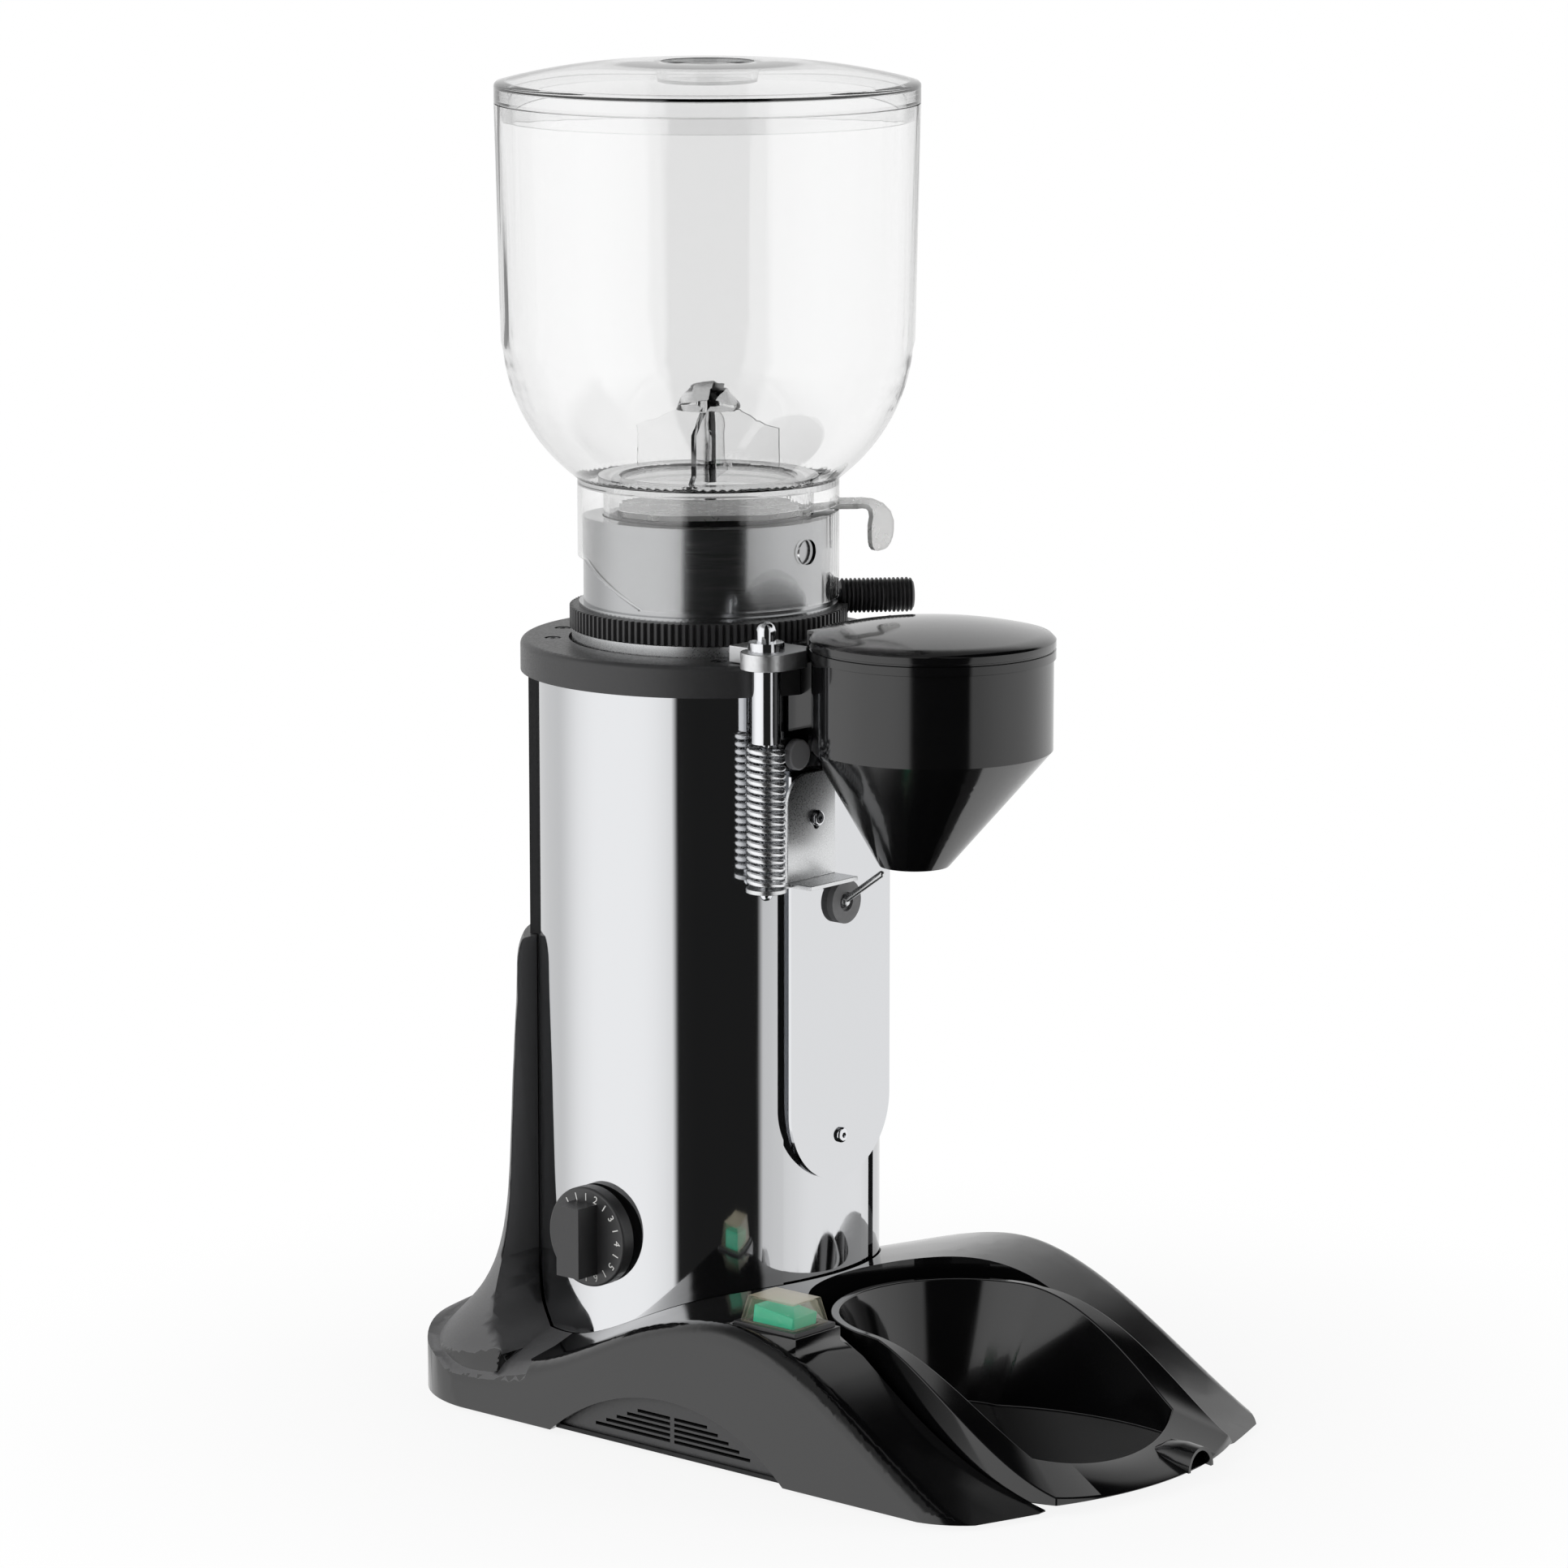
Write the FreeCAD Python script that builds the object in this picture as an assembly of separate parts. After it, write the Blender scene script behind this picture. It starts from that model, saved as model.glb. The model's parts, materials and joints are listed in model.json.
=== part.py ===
import FreeCAD, Part
import math
import os

# Burr coffee grinder with a timed dose, in millimetres, +Z up, front towards -Y.
# The pieces are drawn about the column's axis, with the table at Z = 0.
# They are moved together at the end, so that the origin lies under the middle of the part.

V = FreeCAD.Vector
UP = V(0, 0, 1)
CENTRE = V(0, 0, 0)
BEND = math.sqrt(0.5)
ARC_MID = 1 - BEND          # of a corner's radius, from its two tangents to the middle of its arc
OVERCUT = 1.0               # how far a cutting shape runs past what it cuts

# Base shell
FRONT_REACH = 281.0         # column axis to the front of the tray
REAR_REACH = 110.0          # column axis to the rear of the base
BASE_HALF_WIDTH = 119.0     # at the table
BASE_REAR_CORNER = 60.0     # plan radius of the rear corners
LOBE_FRONT = 261.5          # column axis to the front of the two lobes
LOBE_CORNER = 35.0          # how far back the lobes' front corners start
LOBE_CORNER_WIDTH = 47.0    # how far in they end
BASE_WALL = 3.0
SHELL_LIFT = 2.5            # lower edge of the shell above the table
SIDE_DRAFT = 0.07           # lean of the side walls
CREASE_ROUND = 9.0          # rounding of the crease between side and top
# Top of the base along its length: distance from the axis, crease height, crown in the middle
BASE_STATIONS = (
    (114.0, 23.0, 8.0), (87.0, 23.0, 11.0), (60.0, 23.0, 14.0), (34.0, 24.5, 20.0),
    (8.0, 31.0, 17.0), (-22.0, 44.0, 13.0), (-50.0, 57.0, 8.0), (-80.0, 66.5, 2.0),
    (-112.0, 70.0, 0.0), (-147.0, 61.0, 0.0), (-186.0, 40.0, 1.0), (-214.0, 22.0, 4.0),
    (-240.0, 6.0, 9.0), (-275.0, -14.0, 15.0),
)
SECTION_DEPTH = 60.0        # how far the sections run below the table before they are trimmed

# Rear spine, which flares from the column's back into the base
SPINE_TOP = 222.0
SPINE_WALL = 9.8            # spine thickness behind the column
SPINE_HALF_ANGLE = 43.0     # seen from above, to each side of the rear
FLARE_INSET = 4.0           # base outline to the foot of the flare
# Flare: height, share of the way from the spine to the base outline
FLARE = (
    (22.0, 1.0), (33.0, 0.85), (46.0, 0.56), (63.0, 0.33), (83.0, 0.20), (110.0, 0.13),
    (163.0, 0.06), (203.0, 0.0), (216.0, -0.06), (222.0, -0.2),
)
FLARE_HOLLOW = 110.0        # the spine is hollow up to here
# Saddle between the spine and the lobes: distance in front of the spine's edge, height
SADDLE = ((27.0, 31.0), (18.0, 40.0), (9.0, 46.5), (3.0, 55.0), (0.0, 68.0))

# Underside
PLATE_T = 2.0
PLATE_LIFT = 3.0            # base plate above the table
PLATE_EDGE = 0.4            # base plate to the shell's wall
PLATE_FRONT = 224.0         # column axis to the front edge of the plate
FOOT_R = 12.0
FOOT_PLUG_R = 5.0
FOOT_PLUG = 3.0
FOOT_SPOTS = ((82.0, 55.0), (90.0, -188.0))
BOSS_R = 8.0
BOSS_BORE = 2.2
FOOT_SCREW_LENGTH = 14.0
SCREW_HEAD_T = 2.2
SCREW_R = 2.0
SCREW_HEAD_R = 3.75
SCREW_ROUND = 1.5
SCREW_SOCKET = 2.5          # across the flats
SCREW_SOCKET_DEPTH = 1.4
SCREW_FIT = 0.15
GLAND_R = 8.0
GLAND_FLANGE = 3.0
GLAND_Z = 15.5
GLAND_CLEAR = 2.0           # gland to the wall round the column

# Side vents
VENT_MIDDLE = -76.0         # along the side, from the axis
VENT_HALF_LENGTH = 75.0
VENT_TOP = 29.5
VENT_T = 2.0
VENT_DEPTH = 0.3            # grille behind the wall's inside
VENT_LAP = 3.0              # grille beyond the opening's edge
VENT_REACH = 20.0           # how deep the opening is cut into the side
VENT_ROWS = 5
VENT_PITCH = 2.7
VENT_SLOT = 1.6
VENT_FIRST = 9.5
VENT_FIRST_HALF = 48.0      # half length of the lowest row
VENT_TAPER = 6.6            # each row is this much shorter at either end
VENT_RIB = 2.5

# Grounds tray and its pocket
TRAY_MIDDLE = -157.0        # centre of the round back
TRAY_BACK_R = 72.0          # pocket radius there
TRAY_BELLY = 78.0           # pocket half width at its widest
TRAY_BELLY_Y = -207.0
TRAY_MOUTH = 67.0           # pocket half width at the lobes' tips
TRAY_SHOULDER = -266.0
TRAY_GAP = 0.6
TRAY_LEAN = 12.0            # the tray's outside draws in by this over its loft height
TRAY_LOFT = 70.0
TRAY_WALL = 2.5
TRAY_FLOOR_R = 35.0
TRAY_FLOOR_Y = -150.0
TRAY_FLOOR_FRONT = 256.0
TRAY_FLOOR_MOUTH = 60.0
TRAY_FLOOR_SHOULDER = -235.0
TRAY_FLOOR_BELLY = 3.0      # bow of the floor's sides
TRAY_REST = 0.3
# Tray rim along its length: distance from the axis, height
TRAY_RIM = (
    (-60.0, 66.0), (-118.0, 63.0), (-145.0, 63.0), (-165.0, 60.0), (-187.0, 53.0),
    (-212.0, 39.0), (-237.0, 23.0), (-256.0, 14.5), (-300.0, 12.0),
)

# Column
COLUMN_R = 82.2             # outside of the polished cladding
CLADDING_T = 1.2
SHEET_FIT = 0.3             # between nested sheets
TUBE_WALL = 2.2
POCKET_FIT = 0.5            # cladding to the base shell
POCKET_WALL = 3.3
CLADDING_FOOT = 12.0        # lower edge of the cladding above the table
CLADDING_EDGE_X = 33.0      # front edges of the cladding
REAR_PANEL_T = 4.8          # rear panel above the spine
CAP_TOP = 366.5
CAP_DEPTH = 15.0
CAP_OVERHANG = 7.3          # cap beyond the cladding
CAP_PLATE = 4.0
CAP_SKIRT = 3.5
CAP_ROUND = 3.0
CAP_HOLE_FIT = 1.5          # cap to the thread ring
CAP_SCREW_R = 74.0
CAP_SCREW_ANGLES = (112.0, 135.0, 225.0, 20.0)
CAP_SCREW_SINK = 2.4

# Grinding chamber
CHAMBER_HEIGHT = 40.5
CHAMBER_R = 70.0
CHAMBER_FLANGE = 6.0
CHAMBER_FLOOR = 8.0
CHAMBER_BORE = 42.0
THREAD_R = 53.0             # bore that carries the adjusting collar
THREAD_DEPTH = 20.0
TOP_FLANGE_T = 5.5
TOP_FLANGE_INSET = 1.7      # top flange inside the cladding
THREAD_RING_R = 65.0
THREAD_RING_T = 9.0
RUN_FIT = 0.3               # turning and sliding clearance

# Burrs and drive
BURR_R = 32.0
BURR_T = 8.5
BURR_BORE = 14.0
BURR_GAP = 0.8
BURR_CUTS = 12
BURR_CUT_DEPTH = 1.5
BURR_CUT_WIDTH = 3.0
BARREL_DEPTH = 11.0         # collar's barrel below the chamber's top
BURR_SEAT = 6.5             # upper burr into the barrel
CARRIER_R = 38.0
CARRIER_T = 8.0
SHAFT_R = 7.5
SHAFT_STUD_R = 6.0
SHAFT_FIT = 0.02
SHAFT_STUB = 10.0           # shaft below the fan
NUT_FLATS = 18.0
NUT_T = 7.0
BEARING_R = 17.5
BEARING_T = 11.0
BEARING_LIP = 5.0           # bell shoulder over the bearing's edge
BELL_T = 14.0
BELL_WALL = 5.0
UPPER_RIM = 23.0
LOWER_RIM = 26.0
STATOR_R = 66.0
STATOR_BORE = 36.0
STATOR_L = 95.0
ROTOR_GAP = 0.4
ROTOR_END = 2.0
WINDING_L = 15.0
WINDING_INNER = 40.0
WINDING_OUTER = 59.0
LOWER_BELL_INSET = 2.0      # lower bell inside the tube
TIE_BOLT_R = 2.5
TIE_BOLT_HEAD_R = 4.5
TIE_BOLT_RING = 71.5
TIE_BOLT_HEAD = 4.0
TIE_BOLT_BITE = 8.0
FAN_GAP = 8.0
FAN_T = 16.0
FAN_R = 58.0
FAN_HUB_R = 14.0
FAN_BLADES = 8
FAN_BLADE_T = 2.0

# Adjusting collar
COLLAR_R = 59.3
COLLAR_HEIGHT = 54.2        # above the thread ring
COLLAR_LIP = 2.2
COLLAR_LIP_T = 2.0
CUP_R = 50.0                # takes the hopper's neck
CUP_DEPTH = 38.0
THROAT_R = 27.0
GEAR_R = 66.0
GEAR_T = 10.0
GEAR_TEETH = 120
GEAR_TOOTH = 1.8
GEAR_PROFILE = ((0.0, 0), (0.25, 1), (0.6, 1), (0.85, 0))    # share of a pitch; 0 root, 1 tip
GEAR_LIFT = 0.5
GEAR_FIT = 0.1
HANDLE_ANGLE = -42.0        # from +X, seen from above
HANDLE_ROD_R = 3.5
HANDLE_Z = 2.5              # rod axis above the gear ring
HANDLE_BITE = 6.0
GRIP_R = 8.3
GRIP_START = 67.5
GRIP_END = 98.0
GRIP_RIBS = 9
GRIP_GROOVE = 1.0
GRIP_FIT = 0.02

# Hopper
HOPPER_R = 100.0
HOPPER_WALL = 2.5
HOPPER_RIM = 619.2
SHOULDER_R = 97.6
SHOULDER_Z = 508.0
BOWL_R = 96.5
BOWL_Z = 503.0
BOWL_MID_R = 84.5
BOWL_MID_Z = 467.5
SKIRT_R = 62.0
SKIRT_WALL = 2.0
THROAT_Z = 440.0            # underside of the plate between bowl and skirt
THROAT_PLATE = 3.0
SKIRT_DROP = 53.4
NECK_FIT = 0.5              # hopper's neck in the collar's cup
NECK_WALL = 2.5
KEYHOLE_Z = 412.5
KEYHOLE_R = 6.0
SKIRT_CUT = ((-10.0, 387.0), (30.0, 406.0))    # slanted lower edge on the left: Y, Z of its ends
SKIRT_NOTCH = 13.0          # half of the skirt's gap round the handle
GATE_Z = 428.0
GATE_T = 2.5
GATE_HALF = 42.0
GATE_FIT = 0.3
GATE_ANGLE = -45.0
GATE_TAB_HALF = 11.0
GATE_REACH = 74.0           # axis to the hook's bend
HOOK_R = 9.0
HOOK_DROP = 15.0
GUARD_CAP_R = 15.0
GUARD_CAP_Z = 475.0
GUARD_CAP_H = 12.0
GUARD_STEM_R = 4.0
GUARD_FIN_T = 2.5
GUARD_FIN_R = 34.0
GUARD_FIN_Z = 467.0
GUARD_RING_WALL = 5.0
GUARD_RING_T = 3.0
LID_RIM = 9.5
LID_DOME = 9.5
LID_BULGE = 0.72            # share of the dome's rise reached half way in
LID_EDGE = 1.0
LID_FLAT_R = 30.0
LID_CUP_R = 22.0
LID_CUP_DEPTH = 14.0
LID_LIP = 8.0
LID_FIT = 0.5

# Funnel
FUNNEL_Y = -137.5           # axis of the round body
FUNNEL_R = 56.0
FUNNEL_WALL = 2.5
FUNNEL_TOP = 371.0
FUNNEL_BODY = 42.6
OUTLET_Y = -127.0
OUTLET_R = 16.5
OUTLET_Z = 272.0
FUNNEL_LID_R = 57.0
FUNNEL_LID_BAND = 10.5
FUNNEL_LID_RISE = 6.5
FUNNEL_LID_GROOVE = 0.8
FUNNEL_LID_GROOVE_HALF = 0.7
FUNNEL_LID_GROOVE_Z = 4.7
FUNNEL_LID_ROUND = 2.0
FUNNEL_LID_LIP = 5.0
FUNNEL_LID_TAIL = 30.0      # half width of the tail that covers the chute
FUNNEL_LID_TAIL_Y = -87.0
CHUTE_HALF = 31.0
CHUTE_WALL = 3.0
CHUTE_BOTTOM = 333.0
CHUTE_FIT = 0.2
KNOB_R = 7.2
KNOB_T = 4.5
KNOB_ROUND = 0.9
KNOB_STUD_R = 2.5
KNOB_X = -39.0
KNOB_Z = 325.0
LUG_T = 3.5
LUG_HALF = 6.0
LUG_LIFT = 1.5              # lug above the raised rest

# Front plate and portafilter rest
FRONT_PLATE_T = 1.5
FRONT_PLATE_HALF = 36.0
FRONT_PLATE_BOTTOM = 115.0
FRONT_PLATE_TOP = 313.0
FRONT_SCREW_LOW = 136.0
FRONT_SCREW_HIGH = 302.0
FRONT_SCREW_X = 22.0
REST_T = 2.0
REST_LEFT = -41.0
REST_RIGHT = -7.0
REST_BOTTOM = 262.0
REST_TOP = 314.0
REST_ROUND = 14.0
REST_REACH = 14.0
REST_TRAVEL = 3.0
REST_SCREW_X = -20.5
REST_SCREW_Z = 292.0
POST_X = -55.5
POST_Y = -84.0
POST_SLEEVE_R = 6.8
POST_ROD_R = 3.0
POST_STUD_R = 4.0
POST_TIP = 257.7
SLEEVE_BOTTOM = 332.0
LUG_R = 9.5
POST_FIT = 0.3
BRACKET_T = 8.0
BRACKET_REST = 0.3
BRACKET_FOOT_HALF = 8.0
BRACKET_FOOT_X = -45.0
BRACKET_FOOT_Y = -59.0
BRACKET_HEAD_R = 12.0
BRACKET_RIGHT = -30.0
POST_NUT_R = 8.5
POST_NUT_T = 4.5
POST_NUT_TEETH = 20
POST_NUT_TOOTH = 0.8
DOME_R = 4.6
DOME_H = 9.5
SPRING_R = 7.9              # to the middle of the wire
SPRING_WIRE = 1.15          # wire radius
SPRING_TURNS = 18
SPRING_SEAT = 0.2

# Trigger
TRIGGER_Z = 249.0
BOOT_R = 10.4
BOOT_T = 3.5
BOOT_MOUTH_R = 4.6          # room for the lever to swing
BALL_R = 3.0
LEVER_R = 1.6
LEVER_REACH = 23.0
LEVER_RISE = 16.0
LEVER_STUB = 7.0
LEVER_HOLE = 3.6
SWITCH_HALF = 13.0
SWITCH_DEPTH = 9.0
SWITCH_HEIGHT = 22.0
SWITCH_INSET = 0.6

# Timer
DIAL_Y = -1.5
DIAL_Z = 90.0
DIAL_R = 24.0
DIAL_T = 7.0
DIAL_ROUND = 1.5
DIAL_LIFT = 1.2             # dial's back from the cladding
DIAL_GRIP = 13.0
DIAL_GRIP_HALF = 7.0
DIAL_GRIP_LENGTH = 17.0
DIAL_SHAFT_R = 3.0
TIMER_SIZE = 28.0
TIMER_DEPTH = 24.0

# Power switch on the near shoulder
POWER_X = -90.0
POWER_Y = -124.8
POWER_Z = 69.0
BEZEL_LENGTH = 37.5
BEZEL_WIDTH = 28.6
BEZEL_T = 2.2
PLINTH = 1.5                # flat round the bezel
PLINTH_DEPTH = 9.0
POWER_BODY_LENGTH = 30.0
POWER_BODY_WIDTH = 22.0
POWER_BODY_DEPTH = 20.0
POWER_WELL = 6.0
POWER_WALL = 2.0
ROCKER_FIT = 0.4
ROCKER_H = 9.0
ROCKER_TILT = 7.0
ROCKER_RISE = 2.0           # rocker's pivot above the bezel
COVER_H = 12.0
COVER_WALL = 1.2
COVER_LEAN = 2.5

# Inner electrics
CAPACITOR_R = 20.0
CAPACITOR_L = 70.0
CAPACITOR_SPOT = (30.0, 30.0)
BOARD_SIZE = (54.0, 40.0)
BOARD_SPOT = (-15.0, -38.0)
BOARD_T = 1.6
BOARD_STAND = 12.0
BOARD_EDGE = 4.0            # stand axis to the board's edge
BOARD_STAND_R = 3.0
TERMINAL_R = 2.0
TERMINAL_L = 8.0
TERMINAL_X = 6.0
RELAY_SIZE = (19.0, 15.0, 16.0)

# Heights and radii that follow
AXIS_Y = (FRONT_REACH - REAR_REACH) / 2
PLATE_TOP = PLATE_LIFT + PLATE_T
CLADDING_INNER = COLUMN_R - CLADDING_T
TUBE_R = CLADDING_INNER - SHEET_FIT
TUBE_INNER = TUBE_R - TUBE_WALL
POCKET_R = COLUMN_R + POCKET_FIT
CAP_R = COLUMN_R + CAP_OVERHANG
CAP_BOTTOM = CAP_TOP - CAP_DEPTH
CHAMBER_TOP = CAP_TOP - CAP_PLATE
CHAMBER_BASE = CHAMBER_TOP - CHAMBER_HEIGHT
CHAMBER_FLOOR_Z = CHAMBER_BASE + CHAMBER_FLOOR
TOP_FLANGE_R = CLADDING_INNER - TOP_FLANGE_INSET
THREAD_RING_TOP = CHAMBER_TOP + THREAD_RING_T
BARREL_BOTTOM = CHAMBER_TOP - BARREL_DEPTH
BURR_TOP = BARREL_BOTTOM + BURR_SEAT
LOWER_BURR_TOP = BURR_TOP - BURR_T - BURR_GAP
CARRIER_TOP = LOWER_BURR_TOP - BURR_T
COLLAR_UNDER = THREAD_RING_TOP + RUN_FIT
COLLAR_TOP = COLLAR_UNDER + COLLAR_HEIGHT
CUP_FLOOR = COLLAR_TOP - CUP_DEPTH
GEAR_BOTTOM = THREAD_RING_TOP + GEAR_LIFT
GEAR_TOP = GEAR_BOTTOM + GEAR_T
HANDLE_AXIS_Z = GEAR_TOP + HANDLE_Z
BELL_TOP = CHAMBER_BASE
STATOR_TOP = BELL_TOP - BELL_T - UPPER_RIM
STATOR_BOTTOM = STATOR_TOP - STATOR_L
LOWER_BELL_TOP = STATOR_BOTTOM - LOWER_RIM
LOWER_BELL_BOTTOM = LOWER_BELL_TOP - BELL_T
FAN_TOP = LOWER_BELL_BOTTOM - FAN_GAP
FAN_BOTTOM = FAN_TOP - FAN_T
FRONT_PLATE_BACK = -(TUBE_R + SHEET_FIT)
FRONT_PLATE_FACE = FRONT_PLATE_BACK - FRONT_PLATE_T
REST_BACK = FRONT_PLATE_FACE - RUN_FIT
REST_FACE = REST_BACK - REST_T
REST_SHELF = REST_BOTTOM + REST_T
BRACKET_BOTTOM = CAP_TOP + BRACKET_REST
BRACKET_TOP = BRACKET_BOTTOM + BRACKET_T
LUG_BOTTOM = REST_TOP + REST_TRAVEL + LUG_LIFT
NECK_R = CUP_R - NECK_FIT
FUNNEL_SHOULDER = FUNNEL_TOP - FUNNEL_BODY
TRIGGER_Y = FRONT_PLATE_FACE - BOOT_T / 2


# Shape helpers
def cylinder(radius, z0, z1, x=0.0, y=0.0):
    return Part.makeCylinder(radius, z1 - z0, V(x, y, z0))


def ring(outer, inner, z0, z1, x=0.0, y=0.0):
    return cylinder(outer, z0, z1, x, y).cut(cylinder(inner, z0, z1, x, y))


def block(x0, x1, y0, y1, z0, z1):
    return Part.makeBox(x1 - x0, y1 - y0, z1 - z0, V(x0, y0, z0))


def rod(radius, start, end):
    axis = end.sub(start)
    return Part.makeCylinder(radius, axis.Length, start, axis)


def polar(radius, angle, z=0.0):
    turn = math.radians(angle)
    return V(radius * math.cos(turn), radius * math.sin(turn), z)


def turned(shape, angle):
    copy = shape.copy()
    copy.rotate(CENTRE, UP, angle)
    return copy


def mirrored(shape):
    return shape.mirror(CENTRE, V(1, 0, 0))


def joined(shapes):
    return shapes[0].multiFuse(shapes[1:]).removeSplitter()


def outline(start, *steps):
    """Closed wire. A step is an end point, or a pair of a point on an arc and its end."""
    edges = []
    here = start
    for step in steps:
        if isinstance(step, tuple):
            edges.append(Part.Arc(here, step[0], step[1]).toShape())
            here = step[1]
        else:
            edges.append(Part.LineSegment(here, step).toShape())
            here = step
    if here.distanceToPoint(start) > 1e-6:
        edges.append(Part.LineSegment(here, start).toShape())
    return Part.Wire(edges)


def smooth(points):
    curve = Part.BSplineCurve()
    curve.interpolate(points)
    return curve.toShape()


def extruded(wire, direction):
    return Part.Face(wire).extrude(direction)


def rz(radius, z):
    return V(radius, 0, z)


def dome_step(radius, z, rise):
    """Arc from a dome's edge, at a radius and a height, up to its crown on the axis."""
    ball = (radius ** 2 + rise ** 2) / (2 * rise)
    half = math.asin(radius / ball) / 2
    crown = z + rise
    return rz(ball * math.sin(half), crown - ball * (1 - math.cos(half))), rz(0, crown)


def revolved(wire):
    return Part.Face(wire).revolve(CENTRE, UP, 360)


def sector(shape, first, last, reach):
    """The part of a shape between two angles about the axis, seen from above."""
    middle = (first + last) / 2
    wedge = outline(CENTRE, polar(reach, first), (polar(reach, middle), polar(reach, last)))
    height = shape.BoundBox
    prism = extruded(wedge, V(0, 0, height.ZLength + 2))
    prism.translate(V(0, 0, height.ZMin - 1))
    return shape.common(prism)


def hexagon(flats, z0, z1):
    corner = flats / math.sqrt(3)
    points = [polar(corner, 60 * i, z0) for i in range(6)]
    return extruded(outline(*points), V(0, 0, z1 - z0))


def button_screw(shank):
    """Button head on the XY plane with its shank below, pointing along +Z."""
    head = cylinder(SCREW_HEAD_R, 0, SCREW_HEAD_T)
    edges = [edge for edge in head.Edges if edge.CenterOfMass.z > SCREW_HEAD_T - 0.01]
    head = head.makeFillet(SCREW_ROUND, edges)
    socket = hexagon(SCREW_SOCKET, SCREW_HEAD_T - SCREW_SOCKET_DEPTH, SCREW_HEAD_T + OVERCUT)
    return joined([head.cut(socket), cylinder(SCREW_R, -shank, 0)])


def facing(shape, direction, place):
    """Turns a shape from +Z to a direction and moves its origin to a place."""
    copy = shape.copy()
    copy.Placement = FreeCAD.Placement(place, FreeCAD.Rotation(UP, direction))
    return copy


# Base shell
def base_section(y, crease, crown, inset):
    half = BASE_HALF_WIDTH - SIDE_DRAFT * crease - inset
    top = crease - inset
    low = -SECTION_DEPTH
    foot = half + SIDE_DRAFT * (top - low)

    def top_point(x):
        return V(x, y, top + crown * (1 - (x / half) ** 2))

    right_top = top_point(half - CREASE_ROUND)
    right_side = V(half + SIDE_DRAFT * CREASE_ROUND, y, top - CREASE_ROUND)
    corner = V(half, y, top)
    bend = corner.add(right_side.sub(corner).add(right_top.sub(corner)).multiply(ARC_MID))

    def flip(point):
        return V(-point.x, point.y, point.z)

    span = half - CREASE_ROUND
    crest = [top_point(span * share) for share in (1, 0.5, 0, -0.5, -1)]
    return Part.Wire([
        Part.LineSegment(V(-foot, y, low), V(foot, y, low)).toShape(),
        Part.LineSegment(V(foot, y, low), right_side).toShape(),
        Part.Arc(right_side, bend, right_top).toShape(),
        smooth(crest),
        Part.Arc(flip(right_top), flip(bend), flip(right_side)).toShape(),
        Part.LineSegment(flip(right_side), V(-foot, y, low)).toShape(),
    ])


def base_plan(inset):
    side = BASE_HALF_WIDTH - inset
    rear = REAR_REACH - inset
    front = -(LOBE_FRONT - inset)
    corner = BASE_REAR_CORNER - inset
    diagonal = corner * ARC_MID
    lobe = front + LOBE_CORNER
    lobe_middle = front + LOBE_CORNER * ARC_MID
    tip = side - LOBE_CORNER_WIDTH
    tip_middle = side - LOBE_CORNER_WIDTH * ARC_MID
    return outline(
        V(side, rear - corner, 0),
        (V(side - diagonal, rear - diagonal, 0), V(side - corner, rear, 0)),
        V(corner - side, rear, 0),
        (V(diagonal - side, rear - diagonal, 0), V(-side, rear - corner, 0)),
        V(-side, lobe, 0),
        (V(-tip_middle, lobe_middle, 0), V(-tip, front, 0)),
        V(tip, front, 0),
        (V(tip_middle, lobe_middle, 0), V(side, lobe, 0)),
    )


def base_body(inset, floor):
    sections = [base_section(y, crease, crown, inset) for y, crease, crown in BASE_STATIONS]
    body = Part.makeLoft(sections, True, False)
    plan = extruded(base_plan(inset), V(0, 0, SPINE_TOP))
    plan.translate(V(0, 0, floor))
    return body.common(plan)


def fairing_section(z, share, inset):
    inner = COLUMN_R + SPINE_WALL
    half = inner + (BASE_HALF_WIDTH - FLARE_INSET - inner) * share - inset
    rear = inner + (REAR_REACH - FLARE_INSET - inner) * share - inset
    round_share = max(share, 0.0)
    corner = (half - 1) * (1 - round_share) + (BASE_REAR_CORNER - FLARE_INSET - inset) * round_share
    diagonal = corner * ARC_MID
    return outline(
        V(half, 0, z),
        V(half, rear - corner, z),
        (V(half - diagonal, rear - diagonal, z), V(half - corner, rear, z)),
        V(corner - half, rear, z),
        (V(diagonal - half, rear - diagonal, z), V(-half, rear - corner, z)),
        V(-half, 0, z),
    )


def fairing(inset, top):
    sections = [fairing_section(z, share, inset) for z, share in FLARE if z <= top]
    edge = COLUMN_R * math.cos(math.radians(SPINE_HALF_ANGLE)) + inset
    saddle = [V(-BASE_HALF_WIDTH, edge - ahead, z - inset) for ahead, z in SADDLE]
    low = saddle[0]
    high = saddle[-1]
    back = REAR_REACH * 2
    over = SPINE_TOP + OVERCUT
    side = Part.Wire([
        Part.LineSegment(V(low.x, low.y, 0), low).toShape(),
        smooth(saddle),
        Part.LineSegment(high, V(low.x, high.y, over)).toShape(),
        Part.LineSegment(V(low.x, high.y, over), V(low.x, back, over)).toShape(),
        Part.LineSegment(V(low.x, back, over), V(low.x, back, 0)).toShape(),
        Part.LineSegment(V(low.x, back, 0), V(low.x, low.y, 0)).toShape(),
    ])
    limit = extruded(side, V(2 * BASE_HALF_WIDTH, 0, 0))
    root = extruded(sections[0], V(0, 0, PLATE_TOP - FLARE[0][0]))
    return Part.makeLoft(sections, True, False).fuse(root).common(limit)


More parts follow.
